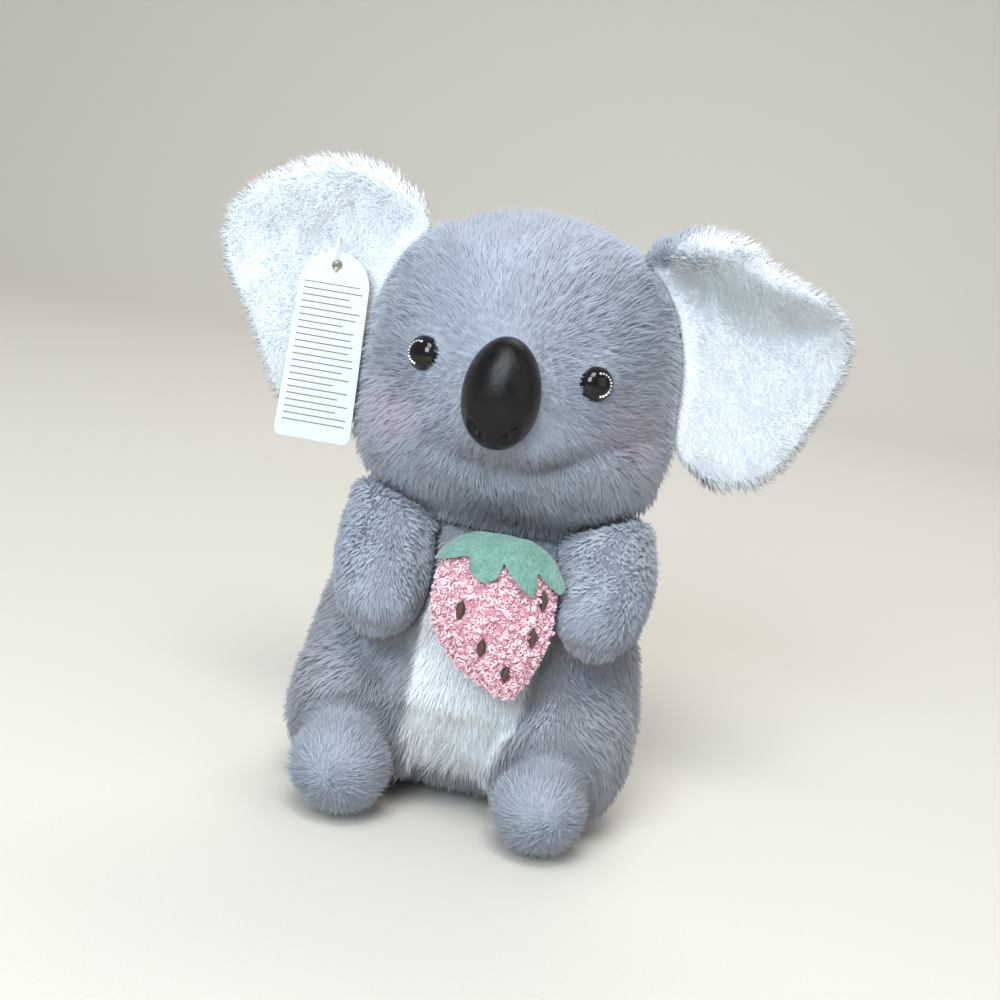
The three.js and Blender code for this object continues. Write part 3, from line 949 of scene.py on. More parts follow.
@dataclass
class Mouth:
    """The sewn crease below the nose: a smile that climbs towards the koala's left cheek."""

    points: tuple[Reach, ...] = (
        (-26.0, -22.5),
        (-13.0, -25.5),
        (0.0, -26.8),
        (16.0, -27.5),
        (26.0, -22.5),
        (40.0, -14.0),
        (58.0, -8.0),
    )
    depth: float = 1.6 * MM
    width: float = 3.4 * MM
    lip: float = 0.8 * MM
    # how dark the painted shade in the crease is
    tint: float = 0.8

    def gap(self, places: Array, centre: Array) -> tuple[Array, Array]:
        """How far points are from the crease, seen from the front.

        Args:
            places: points on the face.
            centre: the nose's middle, which the crease is measured from.

        Returns:
            The distance, and how far along the crease the nearest point is, from 0 to 1.
        """
        line = np.array(self.points) * MM
        best = np.full(len(places), np.inf)
        part = np.zeros(len(places))
        at = places[:, [0, 2]] - centre[[0, 2]]
        for k in range(len(line) - 1):
            step = line[k + 1] - line[k]
            t = np.clip(((at - line[k]) @ step) / (step @ step), 0, 1)
            gap = np.linalg.norm(at - line[k] - t[:, None] * step, axis=1)
            nearer = gap < best
            best[nearer] = gap[nearer]
            part[nearer] = (k + t[nearer]) / (len(line) - 1)
        return best, part


@dataclass
class Head(StuffedPart):
    """The head: pile combed away from the nose, short on the face, with a smile and faint blush."""

    mouth: Mouth = field(default_factory=Mouth)
    cheeks: tuple[Reach, ...] = ((-43.0, -17.0), (49.0, -10.0))
    cheek_radius: float = 12.0 * MM
    muzzle_share: float = 0.46
    muzzle: Reach = (16.0 * MM, 40.0 * MM)
    rest: Reach = (38.0 * MM, 80.0 * MM)
    lid_share: float = 0.4
    lids: Reach = (6.0 * MM, 22.0 * MM)
    bare_nose: Triple = (13.4, 13.0, 19.6)
    bare_eye: float = 6.2 * MM

    def front(self, points: Array) -> Array:
        """1 on the face, 0 on the back of the head."""
        return 1 - smoothstep(points[:, 1], middle("head")[1] - 20 * MM, middle("head")[1] + 5 * MM)

    def length_share(self, points: Array) -> Array:
        """Short round the nose and eyes, full at the cheeks and the back."""
        from_nose = np.linalg.norm(points - middle("nose"), axis=1)
        share = self.muzzle_share + 0.24 * smoothstep(from_nose, *self.muzzle)
        share += 0.30 * smoothstep(from_nose, *self.rest)
        for eye in ("eye_right", "eye_left"):
            from_eye = np.linalg.norm(points - middle(eye), axis=1)
            lid = self.lid_share + (1 - self.lid_share) * smoothstep(from_eye, *self.lids)
            share = np.minimum(share, lid)
        return share

    def combing(self, points: Array) -> Array:
        """Away from the nose over the whole face, then down the back of the head."""
        source = middle("nose") + np.array((0, 8, 2)) * MM
        away = unit(points - source)
        away[:, 2] -= 0.35 * (1 - smoothstep(points[:, 2], source[2] - 30 * MM, source[2] + 5 * MM))
        back = 1 - self.front(points)
        return away * (1 - back)[:, None] + (0.5 * away + np.array((0, 0.2, -0.9))) * back[:, None]

    def creases(self, cloth: Cloth) -> None:
        """Presses the mouth's crease in, and raises soft lips on both sides of it."""
        gap, part = self.mouth.gap(cloth.points, middle("nose"))
        fade = smoothstep(part, 0.0, 0.3) * (1 - smoothstep(part, 0.8, 1.0)) * self.front(cloth.points)
        fade *= np.clip(1 + 0.9 * drift(cloth.points, CLOUD_SIZE, Pattern.LIPS)[:, 0], 0.1, 1.6)
        press = np.exp(-((gap / self.mouth.width) ** 2)) * self.mouth.depth
        raised = np.exp(-(((gap - 2.6 * self.mouth.width) / (1.6 * self.mouth.width)) ** 2)) * self.mouth.lip
        cloth.draw_in((press - raised) * fade)

    def markings(self, outer: Array) -> dict[str, Array]:
        """Lilac blush on the cheeks, and painted shade, brown-grey, in and round the mouth's crease."""
        centre = middle("nose")
        blush = np.zeros(len(outer))
        for x, z in self.cheeks:
            gap = np.linalg.norm(outer[:, [0, 2]] - centre[[0, 2]] - np.array((x, z)) * MM, axis=1)
            blush = np.maximum(blush, np.exp(-((gap / self.cheek_radius) ** 2)))
        gap, part = self.mouth.gap(outer, centre)
        fade = smoothstep(part, 0.05, 0.3) * (1 - smoothstep(part, 0.5, 0.95))
        patches = np.clip(0.55 + 1.5 * drift(outer, 5 * MM, Pattern.MOUTH_SHADE)[:, 1], 0, 1)
        # painted shade in and round the crease, in patches
        painted_shade = np.exp(-((gap / (1.5 * self.mouth.width)) ** 2)) * self.mouth.tint * fade * patches
        front = self.front(outer)
        return {"white": np.zeros(len(outer)), "blush": blush * front, "painted_shade": painted_shade * front}

    def cover(self, outer: Array) -> Array:
        """No pile under the nose, the eyes and what touches the head."""
        weight = super().cover(outer)
        weight *= smoothstep(distances(outer, tree_of(("nose",))), 0.3 * MM, 1.0 * MM)
        inside = np.linalg.norm((outer - middle("nose")) / (np.array(self.bare_nose) * MM), axis=1)
        weight *= inside > 1.0
        for eye in ("eye_right", "eye_left"):
            weight *= np.linalg.norm(outer - middle(eye), axis=1) > self.bare_eye
        return weight


@dataclass
class Torso(StuffedPart):
    """The seated body in one skin: trunk, white belly panel, thighs and ball feet."""

    foot_share: float = 0.74
    belly_bulge: float = 3.0 * MM
    ankle_width: float = 2.2 * MM
    ankle_depth: float = 2.0 * MM
    panel_edge: float = 0.5 * MM
    below_panel: float = 22.0 * MM
    # painted shade over the grey, away from the feet
    body_shade: float = 0.55

    def near_foot(self, points: Array) -> tuple[Array, Array]:
        """How much each point belongs to a foot, and which way is out from that foot's front."""
        share = np.zeros(len(points))
        away = np.zeros_like(points)
        for side in Side:
            low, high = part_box(f"foot_{side.word}")
            radius = (high[0] - low[0]) / 2
            centre = middle(f"foot_{side.word}")
            near = 1 - smoothstep(np.linalg.norm(points - centre, axis=1), radius * 1.02, radius * 1.12)
            pole = centre + np.array((side.value * 0.3, -0.8, -0.3)) * radius
            share = np.maximum(share, near)
            away += near[:, None] * (points - pole + 0.5 * radius * drift(points, 7 * MM, Pattern.POMPOM))
        return share, unit(away + 1e-9)

    def ankle(self, points: Array) -> Array:
        """How near each point is to where a foot is sewn to its leg, from 0 to 1."""
        feet = distances(points, tree_of(("foot_left", "foot_right")))
        rest = distances(points, tree_of(("leg_left", "leg_right", "trunk")))
        beside = 1 - smoothstep(feet + rest, 4 * MM, 20 * MM)
        return np.exp(-(((feet - rest) / self.ankle_width) ** 2)) * beside

    def hem(self, points: Array) -> Array:
        """How near each point is to the white panel's lower edge, from 0 to 1."""
        low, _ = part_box("belly")
        inside = 1 - smoothstep(distances(points, tree_of(("belly",))), 6 * MM, 12 * MM)
        return inside * (1 - smoothstep(points[:, 2], low[2] + 6 * MM, low[2] + 32 * MM))

    def length_share(self, points: Array) -> Array:
        """Shorter on the feet, and shorter still where they are sewn on."""
        share, _ = self.near_foot(points)
        return (1 - (1 - self.foot_share) * share) * (1 - 0.25 * self.ankle(points))

    def overgrowth(self, points: Array) -> Array:
        """Longer along the white panel's lower edge, where it hangs as a fringe."""
        return 1 + 0.5 * self.hem(points)

    def lean(self, points: Array) -> Array:
        """Pile that stands up on the feet, like a pompom's."""
        share, _ = self.near_foot(points)
        return 1 - 0.42 * share

    def cover(self, outer: Array) -> Array:
        """No pile where the strawberry presses on the belly."""
        return super().cover(outer) * smoothstep(distances(outer, tree_of(("strawberry",))), *self.contact)

    def creases(self, cloth: Cloth) -> None:
        """Draws the seams round the feet in, and fills the lower belly out."""
        cloth.draw_in(self.ankle(cloth.points) * self.ankle_depth)
        cloth.draw_in(-self.hem(cloth.points) * self.belly_bulge)

    def combing(self, points: Array) -> Array:
        """Down and outwards, and out from the front on each foot."""
        share, away = self.near_foot(points)
        centre = middle("trunk")
        half = (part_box("trunk")[1][0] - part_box("trunk")[0][0]) / 2
        lie = along((0, -0.25, -1), len(points))
        lie[:, 0] += 0.9 * (points[:, 0] - centre[0]) / half
        return lie * (1 - share)[:, None] + away * share[:, None]

    def markings(self, outer: Array) -> dict[str, Array]:
        """White on the belly panel, and painted shade on the grey: at the ankle seams, strongest below the
        panel, and over the body away from the feet.
        """
        panel = distances(outer, tree_of(("belly",)))
        rest = distances(outer, tree_of(("trunk", "leg_left", "leg_right", "foot_left", "foot_right")))
        low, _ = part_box("belly")
        under = (1 - smoothstep(outer[:, 2], low[2] - 1 * MM, low[2] + 5 * MM)) * (panel < self.below_panel)
        under *= 1 - smoothstep(outer[:, 1], middle("trunk")[1] - 12 * MM, middle("trunk")[1])
        # painted shade in the ankle seams and under the panel's lower edge
        painted_shade = np.maximum(0.3 * self.ankle(outer), 0.7 * under)
        white = smoothstep(rest - panel, -self.panel_edge, self.panel_edge)
        # painted shade over all the grey away from the feet; none on the white
        painted_shade = np.maximum(painted_shade, self.body_shade * (1 - self.near_foot(outer)[0])) * (1 - white)
        return {"white": white, "blush": np.zeros(len(outer)), "painted_shade": painted_shade}


@dataclass
class Arm(StuffedPart):
    """A stuffed arm that reaches forward and down to the strawberry, with the paw's seam across its end."""

    side: Side = Side.LEFT
    seam_height: float = 9.0 * MM
    seam_depth: float = 1.8 * MM
    seam_width: float = 2.2 * MM
    rounding: float = 1.7 * MM
    chin: Reach = (1.0 * MM, 9.0 * MM)
    armpit: Reach = (2.0 * MM, 12.0 * MM)

    def reach(self) -> Array:
        """The way from the shoulder to the paw."""
        low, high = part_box(f"arm_{self.side.word}")
        forward = -0.35 * (high[1] - low[1]) / (high[2] - low[2])
        return unit(np.array((-self.side.value * 0.45, forward, -1.0)))

    def under_head(self, points: Array) -> Array:
        """How near each point is to the head that rests on the shoulder, from 0 to 1."""
        return 1 - smoothstep(distances(points, tree_of(("head",))), *self.chin)

    def overgrowth(self, points: Array) -> Array:
        """Long pile that closes the crease under the chin."""
        return 1 + 0.9 * self.under_head(points)

    def seam_gap(self, points: Array) -> Array:
        """How far points are above the paw's seam."""
        low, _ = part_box(f"arm_{self.side.word}")
        return points[:, 2] - (low[2] + self.seam_height)

    def creases(self, cloth: Cloth) -> None:
        """Rounds the shoulder off under the chin, and presses the paw's seam in across the front."""
        free = smoothstep(distances(cloth.points, tree_of(("trunk",))), *self.armpit)
        cloth.draw_in(self.under_head(cloth.points) * free * self.rounding)
        cloth.smooth(6)
        low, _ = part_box(f"arm_{self.side.word}")
        front = 1 - smoothstep(cloth.points[:, 1], low[1] + 8 * MM, low[1] + 22 * MM)
        press = np.exp(-((self.seam_gap(cloth.points) / self.seam_width) ** 2)) * self.seam_depth
        cloth.draw_in(press * front)

    def combing(self, points: Array) -> Array:
        """Shoulder to paw, then straight down below the seam."""
        below = (1 - smoothstep(self.seam_gap(points), -1 * MM, 3 * MM))[:, None]
        return along(self.reach(), len(points)) * (1 - below) + np.array((0, -0.4, -1)) * below


@dataclass
class Ear(StuffedPart):
    """A big round ear: short white pile in front, long white fluff round the rim, grey behind."""

    side: Side = Side.LEFT
    hollow: float = 1.6 * MM
    grey_over: float = 0.0
    grey_across: Reach = (10.0 * MM, 32.0 * MM)
    grey_below_top: Reach = (22.0 * MM, 12.0 * MM)
    whiteness: float = 0.78
    edge: Reach = (-2.6 * MM, -1.0 * MM)
    fluff: float = 0.8
    fluff_clear: Reach = (4.0 * MM, 14.0 * MM)

    def outward(self, points: Array) -> tuple[Array, Array]:
        """The way from the ear's root to each point, and how near the rim it is, from 0 to 1."""
        low, high = np.array(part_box(f"ear_{self.side.word}_inner"))
        centre = (low + high) / 2
        radius = (high[2] - low[2]) / 2
        root = centre - np.array((self.side.value * 0.75, 0, 0.1)) * radius
        flat = np.linalg.norm((points - centre)[:, [0, 2]], axis=1) / radius
        return unit(points - root), smoothstep(flat, 0.7, 0.96)

    def depth(self, points: Array) -> Array:
        """Hardly anything at the thin rim."""
        return super().depth(points) * (1 - 0.75 * self.outward(points)[1])

    def overgrowth(self, points: Array) -> Array:
        """Long fluff round the rim, except next to the head."""
        free = smoothstep(distances(points, tree_of(self.neighbours)), *self.fluff_clear)
        return 1 + self.fluff * self.outward(points)[1] ** 2 * free

    def creases(self, cloth: Cloth) -> None:
        """Hollows the front panel out, deepest below the folded top."""
        low, high = np.array(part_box(f"ear_{self.side.word}_inner"))
        centre = (low + high) / 2 + np.array((-self.side.value * 0.12, 0, 0.12)) * (high[2] - low[2])
        flat = np.linalg.norm((cloth.points - centre)[:, [0, 2]], axis=1) / (high[2] - low[2]) * 2
        front = np.clip(-cloth.normals()[:, 1], 0, 1)
        cloth.draw_in(np.exp(-((flat / 0.55) ** 2)) * front * self.hollow)

    def lean(self, points: Array) -> Array:
        """Velvety and upright in the middle, lying over towards the rim."""
        return 0.45 + 0.35 * self.outward(points)[1]

    def combing(self, points: Array) -> Array:
        """From the root out to the rim."""
        return self.outward(points)[0] + along((0, 0, -0.1), len(points))

    def markings(self, outer: Array) -> dict[str, Array]:
        """White on the front panel and over the rim, grey behind."""
        nothing = np.zeros(len(outer))
        front = distances(outer, tree_of((f"ear_{self.side.word}_inner",)))
        back = distances(outer, tree_of((f"ear_{self.side.word}_outer",)))
        low, high = np.array(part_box(f"ear_{self.side.word}_outer"))
        across = (outer[:, 0] - (low[0] if self.side is Side.LEFT else high[0])) * self.side.value
        start, full = (high[2] - below for below in self.grey_below_top)
        near_head = (1 - smoothstep(across, *self.grey_across)) * smoothstep(outer[:, 2], start, full)
        over = self.grey_over * near_head
        white = self.whiteness * smoothstep(back - front - over, *self.edge)
        return {"white": white, "blush": nothing, "painted_shade": nothing}


# ---- face ----


def frame_of(node: str) -> tuple[Array, Array, Array, Array]:
    """A round flat node's own axes.

    Args:
        node: the CAD node, such as an eye.

    Returns:
        Its middle, its axis towards the front, and two directions across it: up, and to its right.
    """
    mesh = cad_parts[node].data
    points = np.array([vertex.co for vertex in mesh.vertices])
    points = np.unique(points.round(6), axis=0)
    centre = middle(node)
    _, _, axes = np.linalg.svd(points - points.mean(0), full_matrices=False)
    axis = axes[2] * -np.sign(axes[2][1])
    across = unit(np.cross(axis, (0.0, 0.0, 1.0)))
    return centre, axis, np.cross(across, axis), across


def lathe(name: str, profile: Sequence[Reach], steps: int) -> tuple[Mesh, Array, Array]:
    """Turns a profile of (radius, height) about Z; the first and last points lie on the axis.

    Args:
        name: the mesh's name.
        profile: the points, from the bottom up.
        steps: sides of the turned shape.

    Returns:
        The mesh, and each vertex's radius and height.
    """
    angles = np.arange(steps) * 2 * math.pi / steps
    rings = np.array(profile[1:-1])
    points = [(0.0, 0.0, profile[0][1])]
    points += [(r * math.cos(a), r * math.sin(a), h) for r, h in rings for a in angles]
    points.append((0.0, 0.0, profile[-1][1]))
    faces = []
    for k in range(steps):
        following = (k + 1) % steps
        faces.append((0, 1 + following, 1 + k))
        for ring in range(len(rings) - 1):
            low, high = 1 + ring * steps, 1 + (ring + 1) * steps
            faces += [(low + k, low + following, high + following), (low + k, high + following, high + k)]
        top = 1 + (len(rings) - 1) * steps
        faces.append((top + k, top + following, len(points) - 1))
    array = np.array(points)
    return mesh_of(name, array, np.array(faces)), np.linalg.norm(array[:, :2], axis=1), array[:, 2]


def stand(mesh: Mesh, centre: Array, axis: Array, up: Array) -> None:
    """Puts a mesh made about Z at a centre, with its Z along axis and its Y along up."""
    across = np.cross(up, axis)
    turn = Matrix((Vector(across), Vector(up), Vector(axis))).transposed().to_4x4()
    mesh.transform(Matrix.Translation(Vector(centre)) @ turn)
    mesh.update()


@dataclass(frozen=True)
class EyeFinish:
    """Polished brown-black plastic under a clear lacquer, and a ring of bright foil beads."""

    pupil: Colour = (0.005, 0.0032, 0.0026)
    edge: Colour = (0.006, 0.0055, 0.006)
    foil: Colour = (0.92, 0.88, 0.88)

    def dome(self) -> Material:
        """The dome's finish: browner in the middle, with the faintest mould ripple."""
        graph = Graph("eye_lacquer")
        colour = graph.mix(graph.span(graph.attribute("reach"), 0.45, 0.9), self.pupil, self.edge)
        ripple = graph.noise(graph.place(), 220.0, 1.0)
        normal = graph.bump(ripple, 0.04, 0.3 * MM)
        return graph.finish(colour, 0.05, normal, Specular_IOR_Level=0.36)

    def ring(self) -> Material:
        """The beads' finish: silver foil with a rose cast, duller on some beads."""
        graph = Graph("eye_foil")
        tone = graph.attribute("tone")
        colour = graph.mix(tone, dimmed(self.foil, 0.5), self.foil)
        roughness = graph.span(tone, 0.0, 1.0, 0.4, 0.18)
        return graph.finish(colour, roughness, Metallic=0.25, Specular_IOR_Level=0.8)


@dataclass
class Eye:
    """A safety eye: a low polished dome with a ring of foil beads let into it."""

    side: Side
    rim: float = 0.5 * MM
    shank: float = 2.5 * MM
    beads: int = 12
    bead: float = 0.58 * MM
    ring_share: float = 0.64
    ring_from: float = 82.0
    ring_to: float = 262.0
    skirt: float = 1.6 * MM
    sides: int = 64
    dome_steps: int = 15

    def build(self, finishes: "Finishes") -> None:
        """Makes the dome and its ring of beads."""
        node = f"eye_{self.side.word}"
        centre, axis, up, _ = frame_of(node)
        points = np.array([vertex.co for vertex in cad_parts[node].data.vertices]) - centre
        heights = points @ axis
        radius = np.linalg.norm(points - heights[:, None] * axis, axis=1).max()
        low, high = heights.min(), heights.max()
        skirt = low + self.skirt
        profile = [(0.0, low - self.shank), (0.8 * radius, low - self.shank)]
        profile += [(0.97 * radius, low), (radius, skirt)]
        for k in range(1, self.dome_steps):
            turn = math.radians(90 * k / self.dome_steps)
            profile.append((radius * math.cos(turn), skirt + (high - skirt) * math.sin(turn)))
        profile.append((0.0, high))
        mesh, reach, _ = lathe(node, profile, self.sides)
        give_value(mesh, "reach", reach / radius)
        stand(mesh, centre, axis, up)
        dome = link(f"{node}_dome", mesh)
        dome.data.materials.append(finishes.eye_dome)
        place(dome, "eye_plastic", node)
        turns = np.radians(np.linspace(self.ring_from, self.ring_to, self.beads))
        if self.side is Side.LEFT:
            turns = math.pi - turns
        around = self.ring_share * radius
        level = skirt + (high - skirt) * math.sqrt(1 - self.ring_share**2)
        spots = np.stack([around * np.cos(turns), around * np.sin(turns), np.full(self.beads, level)], 1)
        line = bpy.data.meshes.new("ring")
        line.from_pydata(spots.tolist(), [], [])
        ring = bead_tree().grow(
            f"{node}_ring", line, Bead_Radius=self.bead, Least_Share=0.7, Material=finishes.eye_ring, Seed=31
        )
        stand(ring.data, centre, axis, up)
        place(ring, "eye_plastic")


def bead_tree() -> Tree:
    """Geometry Nodes that set a small bead on every point."""
    tree = Tree("foil_beads")
    seed = tree.takes("Seed", "Int")
    bead = tree.add("GeometryNodeMeshIcoSphere", {"Radius": tree.takes("Bead Radius"), "Subdivisions": 2})
    smooth = tree.add("GeometryNodeSetShadeSmooth", {"Geometry": bead.outputs["Mesh"]})
    beads = tree.add(
        "GeometryNodeInstanceOnPoints",
        {
            "Points": tree.source.outputs["Geometry"],
            "Instance": smooth.outputs["Geometry"],
            "Scale": tree.chance(tree.takes("Least Share"), 1.0, seed),
        },
    )
    tree.finish(tree.toned(beads.outputs["Instances"], seed))
    return tree


@dataclass(frozen=True)
class NoseFinish:
    """Moulded black vinyl with a fine leather grain, worn a little smoother on its crown."""

    deep: Colour = (0.004, 0.0037, 0.0038)
    worn: Colour = (0.009, 0.0075, 0.007)

    def material(self) -> Material:
        """The nose's finish."""
        graph = Graph("nose_vinyl")
        spot = graph.place()
        grain = graph.cells(spot, 2600.0)
        cloud = graph.noise(spot, 260.0, 3.0)
        colour = graph.mix(graph.span(cloud, 0.3, 0.8), self.deep, self.worn)
        height = graph.maths("ADD", graph.maths("MULTIPLY", grain, 0.7), graph.maths("MULTIPLY", cloud, 0.3))
        roughness = graph.span(cloud, 0.3, 0.7, 0.2, 0.28)
        return graph.finish(colour, roughness, graph.bump(height, 0.42, 0.25 * MM), Specular_IOR_Level=0.24)


@dataclass
class Nose:
    """The big egg-shaped nose, with two slit nostrils low on its sides."""

    eggness: float = 0.06
    fullness: Triple = (1.06, 1.0, 1.03)
    nostril: Reach = (6.4 * MM, -13.0 * MM)
    slit: Reach = (1.3 * MM, 3.1 * MM)
    slit_lean: float = 0.75
    slit_bow: float = 0.35
    slit_depth: float = 2.3 * MM
    slit_steepness: float = 2.5
    lip: float = 0.42 * MM
    lip_at: float = 1.7
    lip_width: float = 0.5

    def build(self, finishes: "Finishes") -> None:
        """Shapes the egg, presses the nostrils in and raises their lips."""
        low, high = np.array(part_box("nose"))
        centre, half = (low + high) / 2, (high - low) / 2
        ball = bmesh.new()
        bmesh.ops.create_icosphere(ball, subdivisions=6, radius=1.0)
        mesh = bpy.data.meshes.new("nose")
        ball.to_mesh(mesh)
        ball.free()
        egg = Cloth(mesh)
        sphere = egg.points.copy()
        level = np.linspace(-1, 1, 400)
        widest = np.max(np.sqrt(1 - level**2) * (1 - self.eggness * level))
        egg.points = sphere * half
        egg.points[:, 0] *= (1 - self.eggness * sphere[:, 2]) / widest
        egg.points *= self.fullness
        press = np.zeros(len(sphere))
        for side in Side:
            across = egg.points[:, 0] - side.value * self.nostril[0]
            upward = egg.points[:, 2] - self.nostril[1]
            turn = side.value * self.slit_lean
            thin = (across * math.cos(turn) + upward * math.sin(turn) * -1) / self.slit[0]
            long = (across * math.sin(turn) + upward * math.cos(turn)) / self.slit[1]
            gap = np.hypot(thin + self.slit_bow * long**2 * side.value, long)
            front = sphere[:, 1] < 0
            press += front * np.exp(-(gap**self.slit_steepness)) * self.slit_depth
            press -= front * np.exp(-(((gap - self.lip_at) / self.lip_width) ** 2)) * self.lip
        egg.draw_in(press)
        egg.points += centre
        nose = link("nose_moulding", egg.mesh("nose_moulding"))
        nose.data.materials.append(finishes.nose)
        place(nose, "nose_plastic", "nose")


# ---- strawberry ----


@dataclass(frozen=True)
class BerryFinish:
    """Pink boucle: shiny curls of yarn, and painted shade: deeper pink on the knit between them."""

    deep: Colour = (0.66, 0.32, 0.38)
    bright: Colour = (0.92, 0.62, 0.67)

    def yarn(self) -> Material:
        """The curls' finish, with the yarn's own fine twist."""
        graph = Graph("pink_boucle")
        tone = graph.attribute("tone")
        strands = graph.noise(graph.place(), 2400.0, 2.0)
        blend = graph.maths("ADD", graph.maths("MULTIPLY", tone, 0.6), graph.maths("MULTIPLY", strands, 0.5))
        colour = graph.mix(graph.span(blend, 0.1, 0.85), self.deep, self.bright)
        normal = graph.bump(strands, 0.5, 0.2 * MM)
        return graph.finish(
            colour, 0.5, normal, Sheen_Weight=0.4, Sheen_Roughness=0.35, Specular_IOR_Level=0.45
        )

    def backing(self) -> Material:
        """The knit that the curls stand in, darker than the curls as painted shade between them."""
        graph = Graph("pink_backing")
        knit = graph.cells(graph.place(), 900.0)
        # painted shade: the knit is a darker pink than the curls' deepest
        colour = graph.mix(graph.span(knit, 0.2, 0.7), dimmed(self.deep, 0.75), self.deep)
        return graph.finish(colour, 0.9, graph.bump(knit, 0.7, 0.5 * MM), Specular_IOR_Level=0.2)


@dataclass(frozen=True)
class ThreadFinish:
    """Brown embroidery thread with a silky side."""

    colour: Colour
    name: str

    def material(self) -> Material:
        """The thread's finish, streaked along its fibres."""
        graph = Graph(self.name)
        fibres = graph.noise(graph.place(), 5200.0, 2.0)
        colour = graph.mix(graph.span(fibres, 0.3, 0.7), dimmed(self.colour, 0.6), self.colour)
        return graph.finish(colour, 0.42, graph.bump(fibres, 0.4, 0.1 * MM), Sheen_Weight=0.3)


def boucle_tree() -> Tree:
    """Geometry Nodes that cover a cloth with curls of yarn, thinned out by its "curls" value."""
    tree = Tree("boucle_curls")
    seed = tree.takes("Seed", "Int")
    radius = tree.takes("Curl Radius")
    here = tree.add("GeometryNodeInputNamedAttribute", {"Name": "curls"}, data_type="FLOAT")
    spots = tree.add(
        "GeometryNodeDistributePointsOnFaces",
        {
            "Mesh": tree.source.outputs["Geometry"],
            "Distance Min": tree.takes("Spacing"),
            "Density Max": tree.takes("Density"),
            "Density Factor": here.outputs["Attribute"],
            "Seed": seed,
        },
        distribute_method="POISSON",
    )
    inner = tree.add("ShaderNodeMath", {0: radius, 1: 0.62}, operation="MULTIPLY")
    curl = tree.add(
        "GeometryNodeCurveSpiral",
        {
            "Resolution": 7,
            "Rotations": tree.takes("Turns"),
            "Start Radius": radius,
            "End Radius": inner.outputs[0],
            "Height": tree.takes("Rise"),
        },
    )
    thickness = tree.takes("Yarn Radius")
    section = tree.add("GeometryNodeCurvePrimitiveCircle", {"Resolution": 5, "Radius": thickness})
    yarn = tree.add(
        "GeometryNodeCurveToMesh",
        {"Curve": curl.outputs["Curve"], "Profile Curve": section.outputs["Curve"], "Fill Caps": True},
    )
    smooth = tree.add("GeometryNodeSetShadeSmooth", {"Geometry": yarn.outputs["Mesh"]})
    tilt = tree.chance((-1.4, -1.4, -3.14), (1.4, 1.4, 3.14), seed, "FLOAT_VECTOR")
    turn = tree.add("FunctionNodeEulerToRotation", {"Euler": tilt})
    aimed = tree.add(
        "FunctionNodeRotateRotation",
        {"Rotation": spots.outputs["Rotation"], "Rotate By": turn.outputs["Rotation"]},
        rotation_space="LOCAL",
    )
    curls = tree.add(
        "GeometryNodeInstanceOnPoints",
        {
            "Points": spots.outputs["Points"],
            "Instance": smooth.outputs["Geometry"],
            "Rotation": aimed.outputs["Rotation"],
            "Scale": tree.chance(0.75, 1.25, seed),
        },
    )
    toned = tree.toned(curls.outputs["Instances"], seed)
    solid = tree.add("GeometryNodeRealizeInstances", {"Geometry": toned})
    cloud = tree.add("ShaderNodeTexNoise", {"Scale": tree.takes("Kink Scale"), "Detail": 1.0})
    half = (0.5, 0.5, 0.5)
    centred = tree.add("ShaderNodeVectorMath", {0: cloud.outputs["Color"], 1: half}, operation="SUBTRACT")
    kink = tree.takes("Kink")
    shift = tree.add("ShaderNodeVectorMath", {0: centred.outputs[0], "Scale": kink}, operation="SCALE")
    kinked = tree.add(
        "GeometryNodeSetPosition",
        {"Geometry": solid.outputs["Geometry"], "Offset": shift.outputs[0]},
    )
    tree.finish(kinked.outputs["Geometry"])
    return tree


def satin_tree() -> Tree:
    """Geometry Nodes that lay a bowed thread across every point, as wide as its "wide" value."""
    tree = Tree("satin_stitch")
    crown = tree.add("ShaderNodeCombineXYZ", {"Z": tree.takes("Bow")})
    arch = tree.add(
        "GeometryNodeCurveQuadraticBezier",
        {
            "Resolution": 6,
            "Start": (-1.0, 0.0, 0.0),
            "Middle": crown.outputs["Vector"],
            "End": (1.0, 0.0, 0.0),
        },
    )
    thread = tree.takes("Thread Radius")
    section = tree.add("GeometryNodeCurvePrimitiveCircle", {"Resolution": 6, "Radius": thread})
    here = tree.add("GeometryNodeInputNamedAttribute", {"Name": "wide"}, data_type="FLOAT")
    wide = tree.add("ShaderNodeCombineXYZ", {"X": here.outputs["Attribute"], "Y": 1.0, "Z": 1.0})
    solid = tree.add(
        "GeometryNodeCurveToMesh",
        {"Curve": arch.outputs["Curve"], "Profile Curve": section.outputs["Curve"], "Fill Caps": True},
    )
    smooth = tree.add("GeometryNodeSetShadeSmooth", {"Geometry": solid.outputs["Mesh"]})
    threads = tree.add(
        "GeometryNodeInstanceOnPoints",
        {
            "Points": tree.source.outputs["Geometry"],
            "Instance": smooth.outputs["Geometry"],
            "Scale": wide.outputs["Vector"],
        },
    )
    tree.finish(threads.outputs["Instances"])
    return tree


